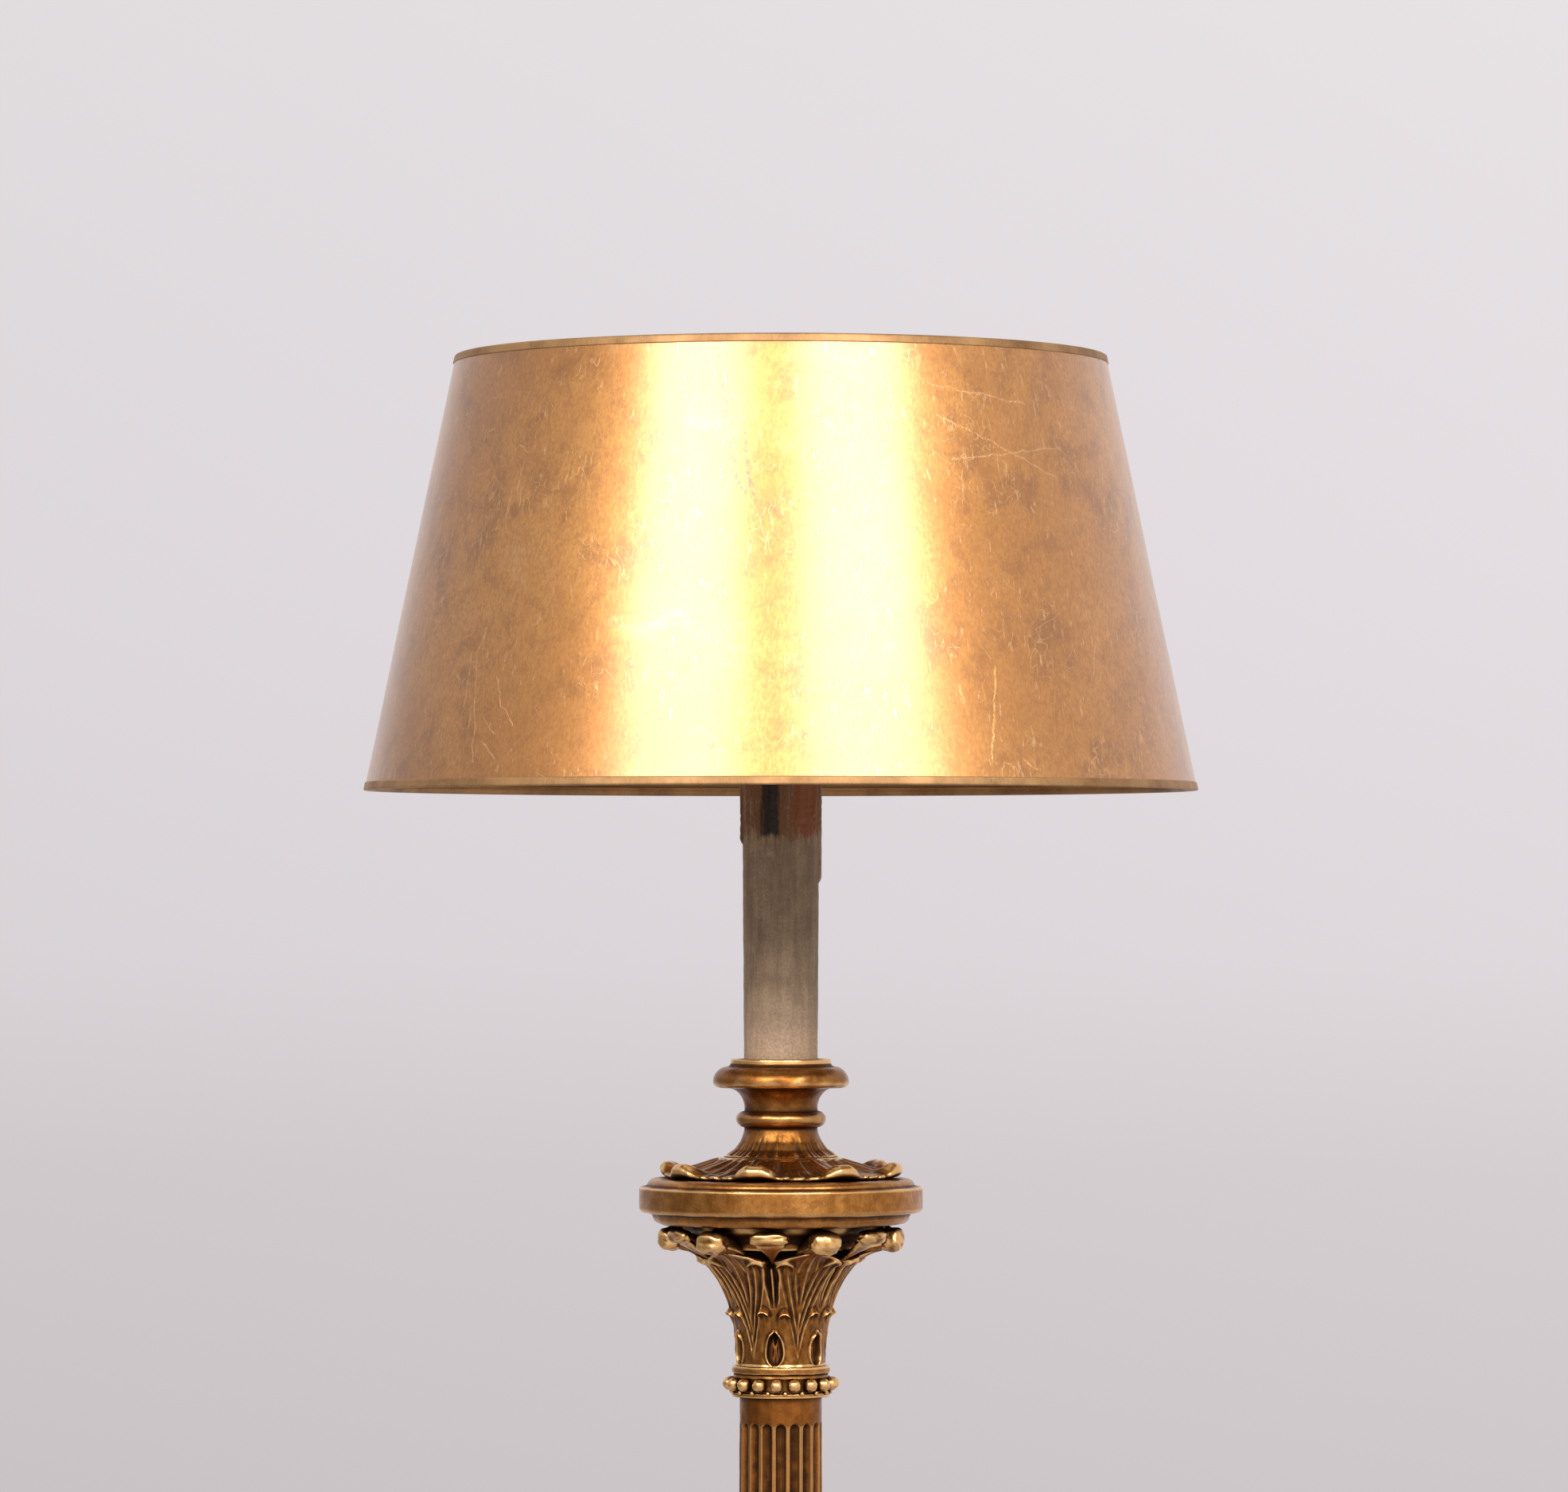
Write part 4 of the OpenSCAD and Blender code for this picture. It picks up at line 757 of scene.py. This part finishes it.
def bead(carving, centre, radius, seed):
    shape = ball(88, 20, 32)
    half = radius * (1 + handWork(shape * radius + centre, 6, 0.035, seed))
    carving.add(shape * half[..., None] + centre, reach=(1.0, 2.0))


def makeCollar(name, node, slotName, foot, radius, seed):
    size = collarSize
    high = foot + size["tall"]
    line = fineLine([
        [(radius + 4.2, foot), (radius + 4.4, foot + 0.3), (radius + 4.4, foot + 2.3), (radius + 3.4, foot + 2.7)],
        bend(radius + 4.2, foot + size["beadUp"], 1.4, 3.9, 250, 110, 8),
        [(radius + 3.4, high - 4.1), (radius + 4.4, high - 3.6), (radius + 4.4, high - 0.3),
         (radius + 4.2, high)]], 0.3, 1)
    carving = Carving().add(ringShell(line, joinery(foot, high), 360, None, (9, 0.10), seed), True, 0, (0.5, 1.1))
    step = 360 / size["beads"]
    for number in range(size["beads"]):
        big = onRing(radius + 6.0, foot + size["beadUp"], (number + 0.75) * step)
        small = onRing(radius + 4.6, foot + size["bumpUp"], (number + 1.25) * step)
        bead(carving, big, size["bead"], seed + number)
        bead(carving, small, size["bump"], seed + 40 + number)
    carving.piece(name, "root", slotName, [node])


shaftSize = {"foot": 336.45, "high": 1039.55, "lowRadius": 25.5, "topRadius": 22.0, "flutes": 18, "plain": 13.7,
             "cutter": 2.9, "proud": 0.6}


def makeShaft():
    size = shaftSize
    foot, high = size["foot"], size["high"]
    grow = size["lowRadius"] / size["topRadius"]
    low, top = foot + size["plain"] + size["cutter"] * grow, high - size["plain"] - size["cutter"]
    heights = np.unique(np.concatenate([
        np.linspace(foot, foot + 24, 44), np.linspace(foot + 24, high - 24, 150), np.linspace(high - 24, high, 48)]))
    line = pairs(taper(size, (heights - foot) / (high - foot)), heights)

    def flute(share, z, angle):
        cutter = size["cutter"] * mix(grow, 1, share)
        aside = np.radians(across(angle, size["flutes"], 0) * 180 / size["flutes"]) * taper(size, share)
        past = np.maximum(0, np.maximum(low - z, z - top))
        depth = np.sqrt(np.clip(cutter ** 2 - aside ** 2 - past ** 2, 0, None)) - size["proud"]
        rough = handWork(onRing(24, z * 0.35, angle), 5, 0.10, 53)
        return -np.maximum(0, depth) + rough

    turned("flutedShaft", "fluted_shaft", line, joinery(foot, high), size["flutes"] * 22, flute, (60, 0.10), 51,
           reach=(0.8, 2.4))


makeNozzle()
makeDrum()
makeSkirt()
makeCollar("neckingCollar", "necking_collar", "water_gilt_wood", 1039.6, 22.0, 101)
makeShaft()
makeCollar("lowerCollar", "lower_collar", "rubbed_gilt_wood", 320.0, 25.5, 131)


# capital: a bell under six large leaves with lobed edges, whose tips roll into knobs, and a flower between each pair

capitalSize = {
    "foot": 1056.05, "high": 1132.15, "leaves": 6, "firstLeaf": 22.0, "vein": 0.62,
    # a leaf sweeps up and out along a quarter of an oval: radius and height of its middle, half width, height
    "sweep": (58, 1062, 34.2, 57),
    # radius and height of the middle, and the half sizes outwards, along the ring and up
    "knob": (59.9, 1124.0, (7.0, 8.7, 6.6)), "flower": (60.4, 1126.6, (4.9, 10.7, 3.9)), "flowerBefore": 28,
    "eyeHeight": 1065.8, "eyeWide": 4.3, "eyeTall": 8.7,
    # height of the tip, place on the leaf, half width, stand of the lip, lift of the lobe, run below the tip
    "lobes": ((1086.2, 0.60, 0.27, 2.4, 1.1, 13.0), (1113.4, 0.64, 0.27, 1.9, 1.3, 15.0)),
    # height, and how much of its share of the ring a leaf fills there
    "edge": ((1056, 1.2), (1058, 0.97), (1075, 0.95), (1078, 1.2), (1083, 1.2), (1088, 0.93), (1094, 0.85),
             (1104, 0.82), (1110, 0.87), (1114, 0.95), (1115.5, 0.85), (1117, 0.5), (1119, 0.1), (1121, -0.4))}


def leafLine(z):
    # radius of the front of a large leaf at height z
    reach, low, wide, tall = capitalSize["sweep"]
    return reach - wide * np.sqrt(1 - np.clip((z - low) / tall, 0, 0.9995) ** 2)


def bellLine(z):
    return 22.0 + 23 * (1 - np.sqrt(1 - np.clip((z - 1058) / 76, 0, 0.97) ** 2)) ** 0.85


def capitalBody():
    size = capitalSize
    foot, high = size["foot"], size["high"]
    z = np.concatenate([np.arange(foot, 1121, 0.36), np.linspace(1121.4, high, 16)])[:, None]
    angle = allRound(1260)
    number = np.round((angle - size["firstLeaf"]) / 60)
    place = across(angle, size["leaves"], size["firstLeaf"])
    side, aside = np.sign(place), np.abs(place)
    luck = np.random.default_rng(60).normal(size=(4, 8))
    own = lambda row: luck[row][(number % 6).astype(int) + (side > 0)]
    leafRadius = leafLine(z) + 0.15
    bell = bellLine(z) + 4 * soft((z - 1111) / 9) + 10.5 * soft((z - 1124.5) / 4.5)
    edge = keyed(z, size["edge"])
    rough = handWork(onRing(24, z, angle), 5, 0.014, 66)
    onLeaf = soft((edge + rough - aside) * leafRadius * mix(0.30, 0.05, soft((z - 1111.5) / 3.5)) + 0.5)

    # a midrib, and veins that leave it one above another and fan out
    climb = np.clip((z - 1058) / 57, 0, 1)
    fade = soft(climb * 9) * soft((1116 - z) / 5)
    veins = 1.25 * ridge(aside, 0.045)
    hollows = 0.0
    for start, spread in ((0.0, 0.80), (0.16, 0.56), (0.36, 0.34)):
        at = spread * soft(np.clip((climb - start) / (1.0 - start), 0, 1)) ** 0.8 + 0.02
        grown = soft((climb - start) * 7)
        veins = veins + grown * ridge(aside - at, 0.034) * (0.85 + 0.3 * own(0))
        hollows = hollows - grown * 0.5 * ridge(aside - at + 0.11, 0.07)
    surface = leafRadius + onLeaf * fade * (size["vein"] * veins + hollows - 0.5 * aside ** 2)
    # between two leaves a stalk stands on a bed
    bed = np.maximum(bell, leafRadius - 2.6 - 1.6 * climb - 9 * soft((z - 1109) / 9))
    stalk = (1.6 + 1.2 * climb) * ridge((1 - aside) * bed * 0.52, 0.9 + 0.5 * climb)
    floor = bed + stalk * soft((z - 1075.5) / 3) * soft((1112 - z) / 4)
    radius = mix(floor, surface, onLeaf)
    rise = 0 * radius

    # lobes: each swells towards an arched lip that curls outwards
    for row, (tip, at, half, stand, lift, run) in enumerate(size["lobes"]):
        q = np.clip((aside - at) / half, -1.2, 1.2)
        arch = tip + 0.5 * own(row + 1) - 3.0 * q ** 2
        within = soft((1 - np.abs(q)) * 3.2)
        below = arch - z
        body = lift * soft(1 - below / run) * soft(below / 0.5 + 1) * arc(q)
        lip = stand * ridge(below, np.where(below < 0, 0.7 + 0.8 * row, 0.6 * stand)) * within
        scoop = -0.7 * ridge(below - 3.6, 2.4) * ridge(q, 0.5)
        crest = 0.45 * ridge(q, 0.13) * soft(1 - below / run) * soft(below / 2)
        radius = radius + (body + lip + scoop + crest) * np.where(row == 0, 1, soft(aside * 3))
        rise = rise - lip * 0.45

    # the opening where two leaves part above the collar
    wide = (1 - aside) * 30 * math.pi / 180 * 24.3
    up = (z - size["eyeHeight"]) / size["eyeTall"]
    width = size["eyeWide"] * arc(up) * (1 - 0.22 * up)
    inside = soft((width - wide) / 1.3 + 0.35) * soft((1.04 - np.abs(up)) * 9)
    border = ridge(wide - width - 0.5, 0.75) * soft((1.16 - np.abs(up)) * 7)
    lid = soft((up - 0.45) * 3)
    hollow = 3.0 - 0.9 * (wide / size["eyeWide"]) ** 2 - 1.9 * ridge(wide, 1.1) * soft((0.55 - up) * 2)
    radius = np.maximum(radius - inside * hollow + border * (0.8 + 1.5 * lid), 17.5)
    for _ in range(3):
        radius[1:-1] = (radius[:-2] + 2 * radius[1:-1] + radius[2:]) / 4
        radius = (np.roll(radius, 1, 1) + 2 * radius + np.roll(radius, -1, 1)) / 4
    base = 0.45 * soft((foot + 1.6 - z) / 1.4)
    radius = radius + base + handWork(onRing(26, z, angle), 6, 0.13, 67)
    grid = onRing(radius, z + rise, angle)
    grid[0, :, 2], grid[-1, :, 2] = foot, high - 0.25
    return np.concatenate([grid, spun(np.array([(44.0, high)] + joinery(foot, high)), angle)])


def under(grid, gap):
    # kept clear of the drum plate
    grid[..., 2] = np.minimum(grid[..., 2], capitalSize["high"] - gap)
    return grid


def horn(angle, seed):
    # the upper end of a large leaf, thick up to the drum plate
    reach, low, wide, tall = capitalSize["sweep"]
    turn = np.radians(np.linspace(44, 78, 60))
    stem = pairs(reach - wide * np.cos(turn), low + tall * np.sin(turn))
    stem[:, 0] -= 3.0 * (1 - soft((turn - turn[0]) * 4.5))
    spine = fineLine([stem, [(54.4, 1118.5), (58.8, 1119.6)]], 0.4, 3)
    half = keyed(np.linspace(0, 1, len(spine)),
                 ((0, 12.0), (0.35, 12.0), (0.55, 9.8), (0.75, 7.2), (0.9, 6.2), (1, 5.6)))

    def front(share, place):
        aside = np.abs(place)
        veins = 0.9 * ridge(place, 0.10) + 0.5 * ridge(aside - 0.42, 0.08) + 0.4 * ridge(aside - 0.76, 0.08)
        return 0.8 * veins * soft(share * 5) * soft((1.02 - share) * 5) - 2.4 * aside ** 3

    thick = lambda share: mix(4.0, 12.6, soft(share * 1.7 - 0.15))
    grid = leafLoft(spine, angle, half, front, thick, 90, 22)
    grid += onRing(1, 0, angle)[None, None, :] * handWork(grid, 6, 0.12, seed)[..., None]
    return under(grid, 0.35)


def knob(angle, seed, reach, height, half):
    # a ball grown a little square, lying along its part of the ring
    shape = ball(89, 60, 90)
    shape = shape * (np.abs(shape) ** 2.5).sum(-1, keepdims=True) ** (-1 / 2.5)
    dent = 1 + handWork(shape * 8, 9.0, 0.045, seed) + handWork(shape * 8, 4.0, 0.010, seed + 1)
    out, over, up = np.split(shape * dent[..., None] * np.array(half), 3, axis=-1)
    turn = math.radians(angle)
    ahead, along = np.array([math.sin(turn), -math.cos(turn), 0]), np.array([math.cos(turn), math.sin(turn), 0])
    return under(onRing(reach, height, angle) + out * ahead + over * along + up * np.array([0, 0, 1]), 0.35)


def stalkFlower(gap, seed):
    # a flower on the stalk between two leaves, its lip rolled out under the drum plate
    reach, height, lipHalf = capitalSize["flower"]
    rng = np.random.default_rng(seed)
    spine = fineLine([[(38.5, 1113.6), (44.5, 1116.4), (51.5, 1120.0), (58.6, 1124.4)]], 0.35, 3)
    run = np.linspace(0, 1, len(spine))
    half = keyed(run, ((0, 1.2), (0.3, 2.0), (0.55, 4.2), (0.8, 7.4), (1, 8.2)))
    body = lambda share, place: 1.4 * arc(place) * soft((1.04 - share) * 5)
    stalk = leafLoft(spine, gap, half, body, lambda share: mix(1.3, 3.4, share), 64, 18)
    lip = knob(gap + rng.normal() * 0.6, seed, reach + rng.normal() * 0.4, height, lipHalf)
    return under(stalk, 0.3), lip


def makeCapital():
    size = capitalSize
    carving = Carving().add(capitalBody(), True, 0, (0.7, 1.8))
    for number in range(size["leaves"]):
        leaf = size["firstLeaf"] + number * 360 / size["leaves"]
        carving.add(horn(leaf, 200 + number), reach=(0.9, 2.2))
        carving.add(knob(leaf + 0.6, 250 + number, *size["knob"]), reach=(2.6, 4.6))
        for part in stalkFlower(leaf - size["flowerBefore"], 300 + number):
            carving.add(part, reach=(1.6, 3.2))
    carving.piece("carvedCapital", "root", "water_gilt_wood", ["capital"], [carvedGilt])


makeCapital()


# foot of the lamp: vase, knop, leaf dome and gadrooned ring

vaseSize = {"foot": 200.05, "high": 319.95, "radius": 52.0, "neck": 27.0, "waist": 22.0, "footRadius": 30.0,
            "leaves": 8, "lift": 4.0}


def makeVase():
    size = vaseSize
    foot, tall = size["foot"], size["high"] - size["foot"]
    share = np.linspace(0, 1, 186)
    waist, footRadius, neck = size["waist"], size["footRadius"], size["neck"]
    rise = np.clip((share - 0.12) / 0.88, 0, 1)
    swell = size["radius"] - mix(waist, neck, 0.55) - 4
    body = mix(waist, neck - 1, rise) + swell * np.sin(math.pi * rise ** 1.15)
    radius = np.where(share < 0.12, mix(waist, footRadius, (1 - share / 0.12) ** 2), body)
    line = pairs(radius, foot + tall * share)

    def leaves(share, z, angle):
        # large leaves with lobed edges and tips that stand out, and smaller ones behind them
        aside = np.abs(across(angle, size["leaves"], 0))
        half = arc((share - 0.34) / 0.5)
        lobes = 0.05 * np.cos((share - 0.1) * 2 * math.pi * 7) * soft((share - 0.1) * 8)
        leaf = soft((0.94 * half + lobes - aside) * 7 + 0.5) * soft((share - 0.1) * 9)
        fan = aside / np.maximum(half, 0.2)
        veins = 0.16 * np.cos(fan * 9 * math.pi - (share - 0.2) * 26) * soft(fan * 4) + 0.35 * ridge(fan, 0.09)
        tip = 0.9 * soft((share - 0.55) * 4) * soft((0.86 - share) * 14)
        behind = soft((0.5 * half - (1 - aside)) * 6 + 0.5) * soft((share - 0.3) * 6) * soft((0.93 - share) * 9)
        return size["lift"] * (leaf * (0.72 + veins + tip) + 0.35 * behind * (1 - leaf)) * soft((0.97 - share) * 30)

    turned("leafVase", "leaf_vase", line, joinery(foot, size["high"]), 500, leaves, (8, 0.2), 71)


knopSize = {"foot": 160.05, "high": 199.95, "beadUp": 23, "cuts": 32, "cutDeep": 0.9, "cutHalf": 6.4}


def makeKnop():
    size = knopSize
    foot, high = size["foot"], size["high"]
    line = fineLine([
        [(40, foot), (40, foot + 4)], bend(39, foot + 15, 11, 11, -90, -180, 12), [(31, foot + 16)],
        bend(33, foot + size["beadUp"], 7, 7, -90, 90, 16), [(29, foot + 31), (28, foot + 33), (28, high - 5)],
        bend(31, high - 4.6, 3, 2.4, 180, 90, 6), [(31, high)]], 0.4, 1)

    def reel(share, z, angle):
        # short gouge cuts round the bead
        on = soft(1 - np.abs((z - foot - size["beadUp"]) / size["cutHalf"]))
        return -size["cutDeep"] * on * (0.5 - 0.5 * np.cos(np.radians(angle * size["cuts"]))) ** 3

    turned("lowerKnop", "lower_knop", line, joinery(foot, high), 480, reel, (12, 0.12), 72)


domeSize = {"foot": 100.05, "tall": 59.9, "radius": 118.0, "neck": 44.0, "leaves": 12, "lift": 3.0}


def makeDome():
    size = domeSize
    foot, tall = size["foot"], size["tall"]
    # the outline is a quarter oval that swells outwards, and above it one that sweeps in to the neck
    wide, top = size["radius"] - 4, size["neck"]
    middle, middleHeight = mix(top, wide, 0.57), mix(3, tall, 0.46)
    share = np.linspace(0, 1, 120)
    first = share < 0.45
    turn = np.radians(np.where(first, share / 0.45 * 90, (share - 0.45) / 0.55 * 90))
    radius = np.where(first, middle + (wide - middle) * np.cos(turn), middle - (middle - top) * np.sin(turn))
    height = np.where(first, 3 + (middleHeight - 3) * np.sin(turn), tall - (tall - middleHeight) * np.cos(turn))
    line = pairs(radius, foot + height)

    def leaves(share, z, angle):
        place = across(angle, size["leaves"], 0)
        fan = np.abs(place)
        fade = np.sin(math.pi * np.clip(share * 1.1 + 0.02, 0, 1))
        leaf = soft((0.92 + 0.06 * np.cos(share * 2 * math.pi * 6) - fan) * 3.2)
        fine = 0.13 * np.cos(fan * 8 * math.pi + (share - 0.3) * 20) * soft(fan * 5) * soft((0.9 - fan) * 6)
        veins = fine + 0.4 * ridge(fan, 0.07)
        return size["lift"] * fade * (leaf + veins + 0.35 * np.cos(place * 2 * math.pi) * (1 - fan) - 0.5)

    edge = size["radius"]
    rim = fineLine([[(edge, foot), (edge, foot + 1.6), (edge - 0.8, foot + 2.2), (edge - 4, foot + 3)]], 0.5, 1)
    full = np.concatenate([rim[:-1], line])
    lead = len(rim) / len(full)
    push = lambda share, z, angle: leaves(np.clip((share - lead) / (1 - lead), 0, 1), z, angle) * (share > lead)
    turned("leafDome", "base_dome", full, joinery(foot, foot + tall), 720, push, (11, 0.2), 73)


gadroonSize = {"foot": 60.05, "tall": 39.9, "radius": 148.0, "bulge": 26.0, "depth": 5.0, "bar": 1.4, "lobes": 20}


def makeGadroon():
    size = gadroonSize
    foot, tall, bulge, count = size["foot"], size["tall"], size["bulge"], size["lobes"]
    turn = np.radians(np.linspace(-80, 80, 130))
    rise = 1 + np.sin(turn) / math.sin(math.radians(80))
    line = pairs(size["radius"] - bulge + bulge * np.cos(turn), foot + tall / 2 * rise)

    def lobes(share, z, angle):
        groove = 1 - np.abs(np.sin(np.radians(angle * count / 2)))
        bar = size["bar"] * ridge(across(angle, count, 0), 0.09)
        return np.cos((share - 0.5) * math.pi * 0.86) * (bar - size["depth"] * groove ** 1.2)

    turned("gadroonRing", "base_gadroon", line, joinery(foot, foot + tall), 680, lobes, (16, 0.2), 74)


makeVase()
makeKnop()
makeDome()
makeGadroon()


# moulded rings with gripping ribs, and the bulb's rolled thread

ringSize = {"bore": 20.1, "outer": 28.5, "tall": 4.5, "ribs": 48, "ribDeep": 0.55}


def makeRing(name, node, body, foot):
    size = ringSize
    bore, inner, outer, high = size["bore"], size["bore"] + 0.4, size["outer"] - 0.1, foot + size["tall"]
    line = fineLine([[(inner, foot), (outer - 0.9, foot), (outer, foot + 0.9), (outer, high - 0.9),
                      (outer - 0.9, high), (inner, high)]], 0.25, 1)

    def rib(share, z, angle):
        between = (0.5 - 0.5 * np.cos(np.radians(angle * size["ribs"]))) ** 0.6
        return -size["ribDeep"] * soft((share - 0.38) * 20) * soft((0.62 - share) * 20) * between

    turned(name, node, line, [(bore, high - 0.3), (bore, foot + 0.3)], 576, rib, (9, 0.0), 81, "black_moulding", body)


capSize = {"foot": 1442.7, "radius": 13.0, "pitch": 3.63, "threadDeep": 0.95}


def makeBulbCap():
    size = capSize
    foot, radius = size["foot"], size["radius"]
    line = pairs(np.full(90, radius), np.linspace(foot + 2, foot + 19.7, 90))
    line = np.concatenate([[[radius - 2, foot], [radius - 1, foot + 1]], line])

    def thread(share, z, angle):
        wave = 0.5 - 0.5 * np.cos(2 * math.pi * ((z - foot) / size["pitch"] - angle / 360))
        return -size["threadDeep"] * wave * soft((z - foot - 1.5) / 2) * soft((foot + 18 - z) / 2)

    hidden = [(radius - 1.9, foot + 19.9), (radius - 2.0, foot + 10), (radius - 2.0, foot + 0.1)]
    turned("bulbCap", "bulb_cap", line, hidden, 180, thread, (9, 0.0), 82, "nickelled_cap", "bulb")


makeRing("supportRing", "support_ring", "root", 1441.0)
makeRing("clampRing", "clamp_ring", "clamping_ring", 1447.3)
makeBulbCap()


# nodes that keep their CAD mesh take the finish of their slot

for part in frame["record"]["subparts"]:
    held = frame["nodes"][part["node"]]
    held.data.materials.clear()
    held.data.materials.append(finishes[part["material_slot"]])
print("nodes finished:", len(frame["nodes"]))


# studio

studio = {"fill": 0.40, "floor": 4.2, "floorRows": 24, "floorSteps": 96, "aim": (0, 0, 1.42),
          # azimuth and elevation from the lamp, distance, width, height, watts
          "boxes": ((-28.5, 26, 2.6, 1.42, 0.72, 40.0), (24.0, 26, 2.6, 1.56, 0.72, 43.0)),
          "camera": (0.0017, -4.075, 1.3086), "tilt": 1.14, "lens": 173.4, "sensor": 36.0}


def makeWorld():
    # plain paper with painted light that falls off a little downwards and brightens to the right, in a room brighter to
    # the front and right
    world = bpy.data.worlds.new("studio")
    bpy.context.scene.world = world
    finish = Finish(world)
    side, front, up = finish.axes(finish.node("TexCoord").named("Generated"))
    # the paper seen by the camera carries painted light: darker downwards and, through its strength, brighter to the
    # right
    paper = finish.node("ValToRGB", {"stops": (
        (0.0, tint(0.600, 0.560, 0.580)), (0.22, tint(0.645, 0.603, 0.625)), (0.36, tint(0.715, 0.673, 0.697)),
        (0.60, tint(0.748, 0.705, 0.730)), (1.0, tint(0.780, 0.738, 0.760)))}, {
            "Fac": (up + 0.08) * 5})
    room = side * 0.10 + 0.86 + front.between(0.3, 0.9) * 0.2
    low = up.between(0.34, 0.08) * side.between(-0.35, -0.85)
    room = room * (1 - low * 0.55)
    path = finish.node("LightPath")
    seen = finish.maths("MAXIMUM", path.named("Is Camera Ray"), path.named("Is Transmission Ray"))
    fill, glow, sheet = [finish.node("Background", None, {"Color": colour, "Strength": strength})
                         for colour, strength in ((tint(0.97, 0.95, 1.0), studio["fill"]),
                                                  (tint(0.97, 0.93, 0.96), room), (paper, side * 0.3 + 1.0))]
    around = finish.node("MixShader", None, {0: path.named("Is Glossy Ray"), 1: fill, 2: glow})
    finish.node("OutputWorld", None, {"Surface": finish.node("MixShader", None, {0: seen, 1: around, 2: sheet})})


def makeFloor():
    # round and in metres, lying a hair under the felt pads
    size, rows, steps = studio["floor"], studio["floorRows"], studio["floorSteps"]
    rings = spun(pairs(np.linspace(0.02, size, rows), np.zeros(rows)), allRound(steps))
    points = np.concatenate([rings.reshape(-1, 3), [[0, 0, 0]]])
    index = np.arange(rows * steps).reshape(rows, steps)
    beside = np.roll(index, -1, 1)
    faces = np.stack([index[:-1], index[1:], beside[1:], beside[:-1]], -1).reshape(-1, 4).tolist()
    faces += [[rows * steps, *ends] for ends in zip(index[0], beside[0])]
    mesh = bpy.data.meshes.new("studioFloor")
    mesh.from_pydata((points - np.array([0, 0, 0.0002])).tolist(), [], faces)
    floor = placed("studioFloor", mesh)
    finish = newFinish("paleFloor")
    far = finish.vector("LENGTH", {0: finish.place()}, 1)
    paper = finish.node("BsdfDiffuse", None, {"Color": tint(0.72, 0.68, 0.70), "Roughness": 0.5})
    gone = far.between(size * 0.35, size * 0.97)
    finish.node("OutputMaterial", None, {"Surface": finish.node("MixShader", None, {
        0: gone, 1: paper, 2: finish.node("BsdfTransparent")})})
    mesh.materials.append(finish.owner)


def makeLamps():
    for number, (azimuth, elevation, distance, width, height, power) in enumerate(studio["boxes"]):
        lamp = bpy.data.lights.new("softBox" + str(number), "AREA")
        lamp.shape, lamp.size, lamp.size_y, lamp.energy = "RECTANGLE", width, height, power
        lamp.color = (1.0, 0.98, 0.95)
        held = placed(lamp.name, lamp)
        turn, rise = math.radians(azimuth), math.radians(elevation)
        away = Vector((math.sin(turn) * math.cos(rise), -math.cos(turn) * math.cos(rise), math.sin(rise)))
        held.location = Vector(studio["aim"]) + away * distance
        held.visible_camera = False
        held.rotation_mode = "QUATERNION"
        held.rotation_quaternion = away.to_track_quat("Z", "Y")


def makeCamera():
    camera = bpy.data.cameras.new("camera")
    camera.sensor_width, camera.lens = studio["sensor"], studio["lens"]
    camera.clip_start, camera.clip_end = 0.1, 60
    held = placed("camera", camera)
    held.location = studio["camera"]
    held.rotation_euler = (math.radians(90 + studio["tilt"]), 0, 0)
    bpy.context.scene.camera = held


makeWorld()
makeFloor()
makeLamps()
makeCamera()
bpy.context.scene.view_settings.view_transform = "Standard"
print("studio ready")
